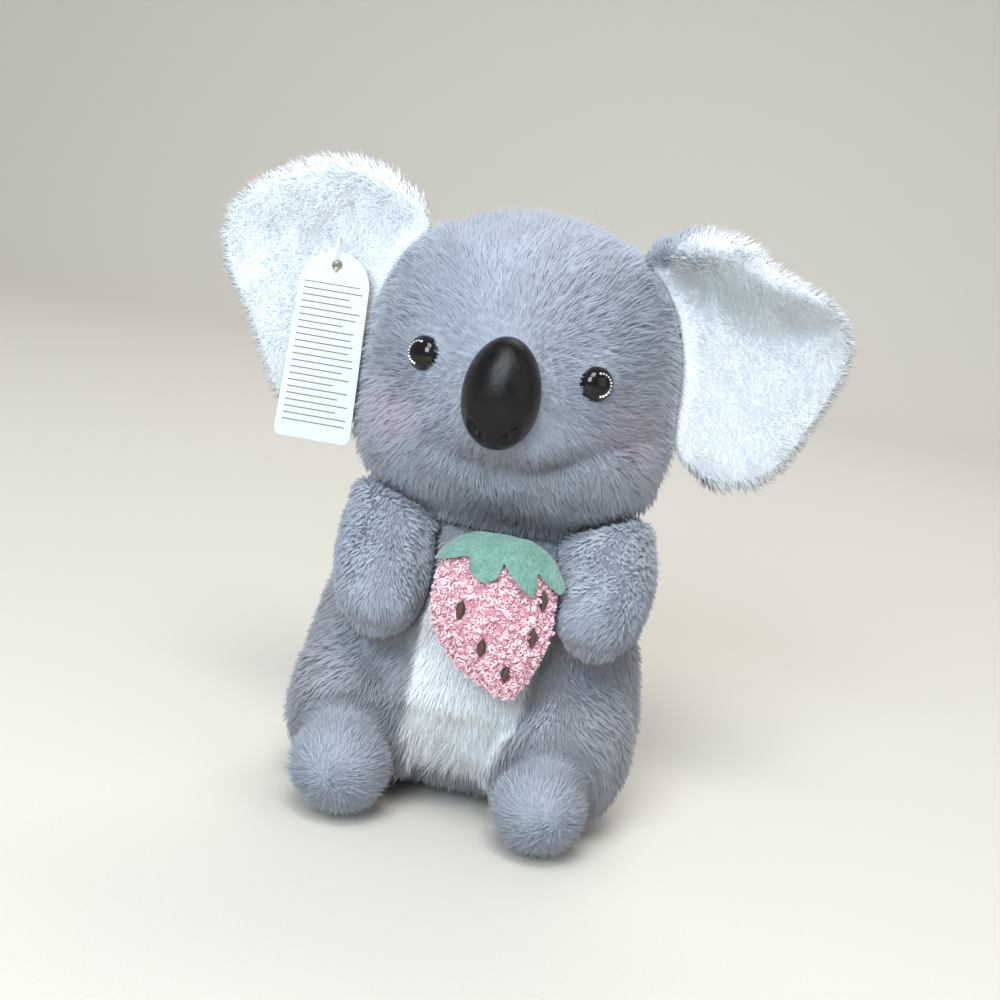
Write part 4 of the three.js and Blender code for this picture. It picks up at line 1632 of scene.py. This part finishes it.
@dataclass
class Seed:
    """One embroidered seed: a dark padded oval with paler satin stitches across its middle."""

    number: int
    half_width: float = 1.55 * MM
    half_length: float = 3.7 * MM
    pad_height: float = 0.75 * MM
    thread: float = 0.17 * MM
    inner_share: float = 0.54
    stitched: float = 0.86
    roundness: float = 0.9
    stand_off: float = 0.9 * MM
    bow: float = 0.36 * MM

    @property
    def node(self) -> str:
        """The CAD node it replaces."""
        return f"strawberry_seed_{self.number}"

    def outline(self, share: Array) -> Array:
        """Half the seed's width at a place along it, -1 to 1: pointed at both ends."""
        return self.half_width * (1 - share**2) * (1 + 0.12 * (1 - share**2))

    def pad(self) -> Mesh:
        """The padded oval, lying in XY with its top towards Z."""
        rows, columns = 29, 13
        lengthways, across = np.meshgrid(np.linspace(-1, 1, rows), np.linspace(-1, 1, columns), indexing="ij")
        wide = self.outline(lengthways) + 0.02 * MM
        top = self.pad_height * np.sqrt(np.clip((1 - across**2) * (1 - lengthways**2 * self.roundness), 0, 1))
        upper = np.stack([across * wide, lengthways * self.half_length, top], -1).reshape(-1, 3)
        lower = upper * (1, 1, 0) - (0, 0, 1.2 * MM)
        grid = np.arange(rows * columns).reshape(rows, columns)
        quads = np.stack([grid[:-1, :-1], grid[:-1, 1:], grid[1:, 1:], grid[1:, :-1]], -1).reshape(-1, 4)
        rim = np.concatenate([grid[0, :-1], grid[:-1, -1], grid[-1, :0:-1], grid[:0:-1, 0]])
        size = rows * columns
        sides = np.stack([rim, np.roll(rim, -1), np.roll(rim, -1) + size, rim + size], -1)
        quads = np.concatenate([quads, quads[:, ::-1] + size, sides[:, ::-1]])
        triangles = np.concatenate([quads[:, [0, 1, 2]], quads[:, [0, 2, 3]]])
        return mesh_of("pad", np.concatenate([upper, lower]), triangles)

    def build(self, tree: Tree, cloth: BVHTree, finishes: "Finishes") -> None:
        """Makes the pad and its stitches and sets them on the berry."""
        centre = middle(self.node)
        spot, normal, _, _ = cloth.find_nearest(Vector(centre))
        axis = np.array(normal)
        up = unit(np.array((0.03, 0.0, 1.0)) - axis * (axis[2] + 0.03 * axis[0]))
        foot = np.array(spot) + axis * self.stand_off
        pad = self.pad()
        stand(pad, foot, axis, up)
        base = link(f"seed_{self.number}_pad", pad)
        base.data.materials.append(finishes.dark_thread)
        place(base, "brown_thread", self.node)
        count = 2 * round(self.stitched * self.half_length / self.thread / 2)
        share = np.linspace(-self.stitched, self.stitched, count)
        height = self.pad_height * np.sqrt(1 - share**2 * self.roundness) - 0.75 * self.thread
        line = bpy.data.meshes.new("stitches")
        line.from_pydata([(0.0, y, z) for y, z in zip(share * self.half_length, height)], [], [])
        give_value(line, "wide", self.outline(share) * self.inner_share)
        stitches = tree.grow(
            f"seed_{self.number}_stitches",
            line,
            Bow=self.bow,
            Thread_Radius=self.thread,
            Material=finishes.pale_thread,
        )
        stand(stitches.data, foot, axis, up)
        place(stitches, "brown_thread")


@dataclass(frozen=True)
class FeltFinish:
    """Thin green felt, drawn lengthways, with a paler cut edge."""

    deep: Colour = (0.07, 0.186, 0.147)
    pale: Colour = (0.205, 0.345, 0.295)

    def material(self) -> Material:
        """The felt's finish."""
        graph = Graph("green_felt")
        stretched = graph.add("ShaderNodeMapping", vector_type="POINT")
        graph.wire(graph.place(), stretched.inputs["Vector"])
        stretched.inputs["Scale"].default_value = (1.0, 1.0, 0.22)
        ribs = graph.noise(stretched.outputs["Vector"], 1500.0, 2.0)
        cloud = graph.noise(graph.place(), 160.0, 3.0)
        blend = graph.maths("ADD", graph.maths("MULTIPLY", ribs, 0.6), graph.maths("MULTIPLY", cloud, 0.55))
        blend = graph.maths("ADD", blend, graph.maths("MULTIPLY", graph.attribute("along"), 0.15))
        colour = graph.mix(graph.span(blend, 0.32, 0.85), self.deep, self.pale)
        normal = graph.bump(ribs, 0.6, 0.35 * MM)
        return graph.finish(
            colour, 0.92, normal, Sheen_Weight=0.45, Sheen_Roughness=0.5, Specular_IOR_Level=0.2
        )


@dataclass
class Calyx:
    """The felt leaves on the strawberry's shoulders, their tips standing a little off the curls."""

    voxel: float = 0.42 * MM
    lift: float = 1.6 * MM
    ripple: float = 0.35 * MM
    fuzz: Pile = Pile(
        length=0.9 * MM,
        width=0.11 * MM,
        per_mm2=3.4,
        root_angle=40,
        tip_angle=72,
        swirl=60,
        gather=0.0,
        lock=1.5 * MM,
        straight_share=1.0,
    )
    root_seed: int = 43
    fuzz_seed: int = 44

    def build(self, finishes: "Finishes") -> None:
        """Cuts the leaves, lifts their tips and brushes up their fuzz."""
        cloth = Cloth(remeshed(merged_solid(("strawberry_calyx",)), self.voxel))
        cloth.smooth(4)
        low, high = np.array(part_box("strawberry_calyx"))
        out = unit((cloth.points - middle("strawberry")) * (1, 1.6, 0.4))
        tips = 1 - smoothstep(cloth.points[:, 2], low[2], high[2] - 0.25 * (high[2] - low[2]))
        ripple = self.ripple * drift(cloth.points, CLOUD_SIZE, Pattern.FELT_RIPPLE)[:, :1]
        cloth.points += out * (self.lift * tips[:, None] ** 1.5 + ripple * tips[:, None])
        leaves = link("calyx_felt", cloth.mesh("calyx_felt"))
        leaves.data.materials.append(finishes.felt)
        unwrap(leaves)
        everywhere = np.ones(len(cloth.points))
        roots = scatter(leaves, everywhere, self.fuzz.per_mm2, np.random.default_rng(self.root_seed))
        give_value(leaves.data, "along", np.zeros(len(cloth.points)))
        ones = np.ones(len(roots.points))
        lie = along((0, 0, -1), len(roots.points))
        rng = np.random.default_rng(self.fuzz_seed)
        for piece in grow("calyx_fuzz", roots, lie, self.fuzz, ones, ones, rng):
            piece.data.materials.append(finishes.felt)
            place(piece, "green_felt")
        place(leaves, "green_felt", "strawberry_calyx")


@dataclass
class Strawberry:
    """The stuffed strawberry: a skin of knit, curls of pink yarn, five sewn seeds and a felt calyx."""

    voxel: float = 1.4 * MM
    pile_depth: float = 1.5 * MM
    spacing: float = 1.21 * MM
    density: float = 1.6e6
    curl: float = 0.8 * MM
    yarn: float = 0.35 * MM
    turns: float = 1.45
    rise: float = 1.5 * MM
    kink: float = 2.2 * MM
    kinks: float = 700.0
    curl_seed: int = 7
    seeds: int = 5
    seed_gap: Triple = (1.9, 9.0, 4.2)

    def build(self, finishes: "Finishes") -> None:
        """Sews the berry and dresses it."""
        seeds = tuple(f"strawberry_seed_{k + 1}" for k in range(self.seeds))
        cloth = Cloth(remeshed(merged_solid(("strawberry",) + seeds, 0.3 * MM), self.voxel))
        cloth.smooth(5)
        cloth.draw_in(self.pile_depth)
        cloth.smooth(2)
        skin = link("strawberry_skin", cloth.mesh("strawberry_skin"))
        clear = np.ones(len(cloth.points))
        for seed in seeds:
            gap = (cloth.points - middle(seed)) / (np.array(self.seed_gap) * MM)
            clear *= np.linalg.norm(gap, axis=1) > 1.0
        give_value(skin.data, "curls", clear)
        skin.data.materials.append(finishes.knit)
        search = BVHTree.FromPolygons([Vector(p) for p in cloth.points], cloth.triangles.tolist())
        curls = boucle_tree().grow(
            "strawberry_curls",
            skin.data.copy(),
            Spacing=self.spacing,
            Density=self.density,
            Curl_Radius=self.curl,
            Yarn_Radius=self.yarn,
            Turns=self.turns,
            Rise=self.rise,
            Kink=self.kink,
            Kink_Scale=self.kinks,
            Seed=self.curl_seed,
            Material=finishes.yarn,
        )
        place(skin, "pink_pile", "strawberry", fill=0.9)
        place(curls, "pink_pile")
        tree = satin_tree()
        for k in range(self.seeds):
            Seed(k + 1).build(tree, search, finishes)
        Calyx().build(finishes)


# ---- hang tag ----


@dataclass(frozen=True)
class CardFinish:
    """Coated white card with plain ruled lines, no lettering."""

    card: Colour = (0.55, 0.565, 0.565)
    rule: Colour = (0.13, 0.135, 0.145)
    pitch: float = 2.5 * MM
    thickness: float = 0.44 * MM
    margin: float = 0.17
    ragged: float = 0.5
    first: float = 12.5 * MM
    last: float = 67.0 * MM

    def material(self) -> Material:
        """The card's finish: faint fibres, and thin grey rules across its front."""
        graph = Graph("tag_card")
        down, across = graph.attribute("down"), graph.attribute("across")
        inset = graph.maths("SUBTRACT", 1.0, graph.maths("ABSOLUTE", across))
        below = graph.maths("SUBTRACT", down, self.first)
        row = graph.maths("ROUND", graph.maths("DIVIDE", below, self.pitch))
        chance = graph.add("ShaderNodeTexWhiteNoise", noise_dimensions="1D")
        graph.wire(row, chance.inputs["W"])
        end = graph.maths("MULTIPLY", graph.maths("POWER", chance.outputs["Value"], 3.0), self.ragged)
        shortened = graph.maths("SUBTRACT", graph.maths("SUBTRACT", 1.0 - self.margin, end), across)
        stripe = graph.maths("PINGPONG", below, self.pitch / 2)
        line = graph.span(stripe, 0.4 * self.thickness, 0.6 * self.thickness, 1.0, 0.0)
        for bound in (
            graph.span(down, self.first - 0.2 * MM, self.first - 0.1 * MM),
            graph.span(down, self.last, self.last + 0.1 * MM, 1.0, 0.0),
            graph.span(inset, self.margin, self.margin + 0.01),
            graph.span(shortened, 0.0, 0.01),
            graph.attribute("face"),
        ):
            line = graph.maths("MULTIPLY", line, bound)
        fibres = graph.noise(graph.place(), 1800.0, 3.0)
        colour = graph.mix(graph.span(fibres, 0.3, 0.7), dimmed(self.card, 0.97), self.card)
        colour = graph.mix(line, colour, self.rule)
        return graph.finish(colour, 0.38, graph.bump(fibres, 0.12, 0.05 * MM), Specular_IOR_Level=0.4)


@dataclass(frozen=True)
class NylonFinish:
    """Clear, slightly yellow nylon."""

    deep: Colour = (0.72, 0.68, 0.58)
    pale: Colour = (0.86, 0.84, 0.78)

    def material(self) -> Material:
        """The nylon's finish."""
        graph = Graph("clear_nylon")
        shade = graph.noise(graph.place(), 900.0)
        return graph.finish(graph.mix(shade, self.deep, self.pale), 0.25, Coat_Weight=0.4)


@dataclass(frozen=True)
class GiltFinish:
    """Thin gilding, a little scuffed."""

    worn: Colour = (0.80, 0.58, 0.24)
    bright: Colour = (0.93, 0.78, 0.48)

    def material(self) -> Material:
        """The gilding's finish."""
        graph = Graph("gilt_bead")
        scuffs = graph.noise(graph.place(), 2200.0, 2.0)
        colour = graph.mix(graph.span(scuffs, 0.35, 0.75), self.worn, self.bright)
        return graph.finish(colour, graph.span(scuffs, 0.3, 0.7, 0.22, 0.4), Metallic=1.0)


@dataclass
class HangTag:
    """A blank white card with a round top, on a nylon loop with a small gilt bead."""

    top_width: float = 27.0 * MM
    bottom_width: float = 29.6 * MM
    corner: float = 3.0 * MM
    hole: float = 2.0 * MM
    hole_below: float = 5.2 * MM
    lean: float = 0.012
    half_thickness: float = 0.3 * MM
    edge: float = 0.07 * MM
    wire: float = 0.3 * MM
    loop_steps: int = 64
    wire_steps: int = 10
    bead: float = 0.95 * MM
    bead_width: float = 0.8

    def outline(self, height: float) -> list[Reach]:
        """The card's edge, from its top middle at the origin, anticlockwise."""
        top, bottom = self.top_width / 2, self.bottom_width / 2
        points = [(top * math.cos(a), top * math.sin(a) - top) for a in np.linspace(0, math.pi, 49)]
        left, right = self.corner - bottom, bottom - self.corner
        level = self.corner - height
        for x, start in ((left, math.pi), (right, 1.5 * math.pi)):
            for a in np.linspace(start, start + 0.5 * math.pi, 9):
                points.append((x + self.corner * math.cos(a), level + self.corner * math.sin(a)))
        return points

    def card(self) -> tuple[Mesh, Matrix]:
        """The card in its own plane, and where it hangs."""
        low, high = np.array(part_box("tag"))
        height = (high[2] - low[2]) * 1.004
        tip = math.asin((high[1] - low[1] - 0.6 * MM) / height)
        shape = bpy.data.curves.new("tag", "CURVE")
        shape.dimensions = "2D"
        shape.fill_mode = "BOTH"
        turns = np.linspace(0, 2 * math.pi, 33)[:-1]
        hole = [(self.hole * math.cos(a), self.hole * math.sin(a) - self.hole_below) for a in turns]
        for ring in (self.outline(height), hole):
            spline = shape.splines.new("POLY")
            spline.points.add(len(ring) - 1)
            for point, (x, y) in zip(spline.points, ring):
                point.co = (x, y, 0, 1)
            spline.use_cyclic_u = True
        shape.extrude = self.half_thickness - self.edge
        shape.bevel_depth = self.edge
        shape.bevel_resolution = 2
        shape.offset = -self.edge
        mesh = evaluated(link("tag", shape))
        centre = (low + high) / 2
        at = Vector((centre[0] - self.lean * height / 2, high[1] - self.half_thickness, high[2]))
        hang = Matrix.Translation(at) @ Matrix.Rotation(-self.lean, 4, "Y") @ Matrix.Rotation(-tip, 4, "X")
        return mesh, hang @ Matrix.Rotation(math.pi / 2, 4, "X")

    def build(self, finishes: "Finishes") -> None:
        """Cuts the card, threads its loop and sets the bead."""
        mesh, hang = self.card()
        points = np.array([vertex.co for vertex in mesh.vertices])
        low, high = np.array(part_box("tag"))
        share = -points[:, 1] / (high[2] - low[2])
        half = self.top_width / 2 + share * (self.bottom_width - self.top_width) / 2
        give_value(mesh, "down", -points[:, 1])
        give_value(mesh, "across", points[:, 0] / half)
        give_value(mesh, "face", (points[:, 2] > 0.2 * MM).astype(float))
        mesh.transform(hang)
        card = link("tag_card", mesh)
        card.data.materials.append(finishes.card)
        place(card, "card", "tag")
        self.loop(finishes.nylon)
        self.knot(hang, finishes.gilt)

    def loop(self, nylon: Material) -> None:
        """Makes the nylon loop through the hole."""
        low, high = np.array(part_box("tag_fastener"))
        centre, radius = (low + high) / 2, (high[2] - low[2]) / 2 - self.wire
        ring = bmesh.new()
        rows = []
        for a in np.linspace(0, 2 * math.pi, self.loop_steps + 1)[:-1]:
            core = Vector(centre) + Vector((0, 0.8 * radius * math.cos(a), radius * math.sin(a)))
            out = Vector((0, math.cos(a), math.sin(a)))
            row = []
            for b in np.linspace(0, 2 * math.pi, self.wire_steps + 1)[:-1]:
                spoke = out * math.cos(b) + Vector((1, 0, 0)) * math.sin(b)
                row.append(ring.verts.new(core + self.wire * spoke))
            rows.append(row)
        for k, row in enumerate(rows):
            following = rows[(k + 1) % len(rows)]
            for j in range(self.wire_steps):
                beside = (j + 1) % self.wire_steps
                ring.faces.new((row[j], row[beside], following[beside], following[j]))
        bmesh.ops.recalc_face_normals(ring, faces=ring.faces)
        mesh = bpy.data.meshes.new("tag_loop")
        ring.to_mesh(mesh)
        ring.free()
        mesh.polygons.foreach_set("use_smooth", [True] * len(mesh.polygons))
        loop = link("tag_loop", mesh)
        loop.data.materials.append(nylon)
        place(loop, "nylon", "tag_fastener")

    def knot(self, hang: Matrix, gilt: Material) -> None:
        """Sets the waisted bead at the front of the hole."""
        waist = [(0.0, -self.bead)]
        for a in np.linspace(-80, 80, 17):
            turn = math.radians(a)
            pinch = 1 - 0.22 * math.exp(-((a / 14) ** 2))
            waist.append((self.bead * self.bead_width * math.cos(turn) * pinch, self.bead * math.sin(turn)))
        waist.append((0.0, self.bead))
        bead, _, _ = lathe("tag_bead", waist, 32)
        spot = hang @ Vector((0, -self.hole_below - 0.7 * self.hole, 0))
        forward = self.half_thickness + self.bead_width * self.bead
        bead.transform(Matrix.Translation(spot + Vector((0, -forward, 0))))
        knot = link("tag_bead", bead)
        knot.data.materials.append(gilt)
        place(knot, "nylon")


# ---- setting ----


@dataclass
class Portrait:
    """The camera, close in front of the koala, a little above it and rolled."""

    target: Sequence[float] = (1.4 * MM, 9.6 * MM, 121.0 * MM)
    azimuth: float = 5.5
    elevation: float = 12.0
    roll: float = 9.5
    distance: float = 0.65
    lens: float = 60.77
    sensor: float = 36.0

    def build(self) -> None:
        """Makes the camera."""
        turn, lift, roll = (math.radians(angle) for angle in (self.azimuth, self.elevation, self.roll))
        ahead = Vector((-math.sin(turn) * math.cos(lift), math.cos(turn) * math.cos(lift), -math.sin(lift)))
        level = Vector((math.cos(turn), math.sin(turn), 0))
        upright = level.cross(ahead)
        across = level * math.cos(roll) + upright * math.sin(roll)
        above = upright * math.cos(roll) - level * math.sin(roll)
        camera = link("camera", bpy.data.cameras.new("camera"))
        camera.data.lens = self.lens
        camera.data.sensor_width = self.sensor
        camera.data.clip_start = 0.05
        camera.data.clip_end = 20.0
        turned = Matrix((across, above, -ahead)).transposed().to_4x4()
        camera.matrix_world = Matrix.Translation(Vector(self.target) - ahead * self.distance) @ turned
        bpy.context.scene.camera = camera


@dataclass(frozen=True)
class SoftBox:
    """A square studio light that points at a spot."""

    name: str
    at: Triple
    size: float
    power: float
    colour: Colour = (1.0, 1.0, 1.0)
    spot: Triple = (0.0, 0.0, 0.12)

    def build(self) -> None:
        """Hangs the light."""
        lamp = bpy.data.lights.new(self.name, "AREA")
        lamp.size = self.size
        lamp.energy = self.power
        lamp.color = self.colour
        thing = link(self.name, lamp)
        thing.location = self.at
        thing.rotation_euler = (Vector(self.spot) - Vector(self.at)).to_track_quat("-Z", "Y").to_euler()


@dataclass
class Studio:
    """A pale floor that sweeps up into a backdrop, soft lights and an even surround."""

    floor_colour: Colour = (0.66, 0.62, 0.55)
    half_width: float = 3.0
    front: float = -2.5
    back: float = 1.3
    sweep: float = 0.6
    height: float = 2.6
    surround: Colour = (0.86, 0.93, 1.0)
    surspherestrength: float = 0.47
    lights: tuple[SoftBox, ...] = (
        SoftBox("key_light", (0.02, -0.95, 1.5), 0.7, 18.0, (1.0, 0.985, 0.96)),
        SoftBox("window_light", (-0.28, -1.3, 0.8), 0.6, 19.0, (0.74, 0.89, 1.0)),
        SoftBox("fill_light", (1.5, -0.9, 0.7), 1.2, 4.0, (0.92, 0.96, 1.0)),
        SoftBox("rim_light", (0.2, 1.1, 1.4), 0.9, 10.0),
    )

    def backdrop(self) -> None:
        """Makes the floor and backdrop as one swept sheet."""
        arc = [math.radians(90 * k / 16) for k in range(17)]
        line = [(self.front, 0.0)]
        line += [(self.back + self.sweep * math.sin(a), self.sweep * (1 - math.cos(a))) for a in arc]
        line.append((self.back + self.sweep, self.height))
        points = np.array([(x, y, z) for y, z in line for x in (-self.half_width, self.half_width)])
        quads = np.array([(2 * k, 2 * k + 1, 2 * k + 3, 2 * k + 2) for k in range(len(line) - 1)])
        triangles = np.concatenate([quads[:, [0, 1, 2]], quads[:, [0, 2, 3]]])
        sheet = link("studio_floor", mesh_of("studio_floor", points, triangles))
        graph = Graph("studio_paper")
        grain = graph.noise(graph.place(), 900.0, 2.0)
        mottle = graph.span(grain, 0.3, 0.7)
        colour = graph.mix(mottle, dimmed(self.floor_colour, 0.97), self.floor_colour)
        sheet.data.materials.append(graph.finish(colour, 0.85, graph.bump(grain, 0.1, 0.2 * MM)))

    def build(self) -> None:
        """Sets up the floor, the lights and the surround."""
        self.backdrop()
        for light in self.lights:
            light.build()
        world = bpy.data.worlds.new("surround")
        world.use_nodes = True
        background = world.node_tree.nodes["Background"]
        background.inputs["Color"].default_value = (*self.surround, 1.0)
        background.inputs["Strength"].default_value = self.surspherestrength
        bpy.context.scene.world = world
        bpy.context.scene.view_settings.view_transform = "Standard"


# ---- the whole toy ----


@dataclass
class Finishes:
    """Every finish of the toy, each made once."""

    pile: Material
    backing: Material
    nose: Material
    eye_dome: Material
    eye_ring: Material
    yarn: Material
    knit: Material
    dark_thread: Material
    pale_thread: Material
    felt: Material
    card: Material
    nylon: Material
    gilt: Material

    @classmethod
    def make(cls) -> "Finishes":
        """Draws up all the materials."""
        plush = PlushFinish()
        eye = EyeFinish()
        berry = BerryFinish()
        return cls(
            pile=plush.pile(),
            backing=plush.backing(),
            nose=NoseFinish().material(),
            eye_dome=eye.dome(),
            eye_ring=eye.ring(),
            yarn=berry.yarn(),
            knit=berry.backing(),
            dark_thread=ThreadFinish((0.020, 0.009, 0.007), "dark_thread").material(),
            pale_thread=ThreadFinish((0.105, 0.034, 0.022), "brown_thread").material(),
            felt=FeltFinish().material(),
            card=CardFinish().material(),
            nylon=NylonFinish().material(),
            gilt=GiltFinish().material(),
        )


FACE_PILE = Pile(
    width=0.33 * MM, per_mm2=2.5, root_angle=30, tip_angle=62, gather=0.5, lock=3.3 * MM, straight_share=0.7
)
EAR_PILE = Pile(length=3.8 * MM, width=0.29 * MM, per_mm2=3.05, swirl=34, gather=0.08, lock=3.0 * MM)


def koala() -> list[StuffedPart]:
    """The stuffed sub-assemblies, from the head down."""
    parts: list[StuffedPart] = [
        Head(
            "head",
            ("head",),
            "grey_plush",
            FACE_PILE,
            pocket_fillers=("nose", "eye_right", "eye_left"),
            neighbours=("trunk", "ear_right_inner", "ear_left_inner", "ear_right_outer", "ear_left_outer"),
            seed=3,
        ),
        Torso(
            "body",
            ("trunk", "belly", "leg_right", "leg_left", "foot_right", "foot_left"),
            "grey_plush",
            Pile(length=7.6 * MM, width=0.325 * MM, per_mm2=2.3, gather=0.1, straight_share=0.75),
            neighbours=("head", "arm_right", "arm_left"),
            seed=5,
        ),
    ]
    for side in Side:
        parts.append(
            Arm(
                f"arm_{side.word}",
                (f"arm_{side.word}",),
                "grey_plush",
                Pile(length=5.5 * MM, width=0.29 * MM, per_mm2=3.8, gather=0.06, straight_share=0.75),
                neighbours=("trunk", "head", "strawberry", "strawberry_calyx"),
                side=side,
                seed=11 + side.value,
            )
        )
        parts.append(
            Ear(
                f"ear_{side.word}",
                (f"ear_{side.word}_inner", f"ear_{side.word}_outer"),
                "white_plush",
                EAR_PILE,
                voxel=1.2 * MM,
                neighbours=("head",),
                side=side,
                hollow=(2.2 if side is Side.LEFT else 1.0) * MM,
                grey_over=(4.6 if side is Side.LEFT else 0.0) * MM,
                seed=21 + side.value,
            )
        )
    return parts


def main() -> None:
    """Builds the setting and the toy."""
    logging.basicConfig(level=logging.INFO, format="%(message)s", stream=sys.stdout)
    Portrait().build()
    Studio().build()
    finishes = Finishes.make()
    for part in koala():
        part.build(finishes)
    Nose().build(finishes)
    for side in Side:
        Eye(side).build(finishes)
    Strawberry().build(finishes)
    HangTag().build(finishes)


if __name__ == "__main__":
    main()
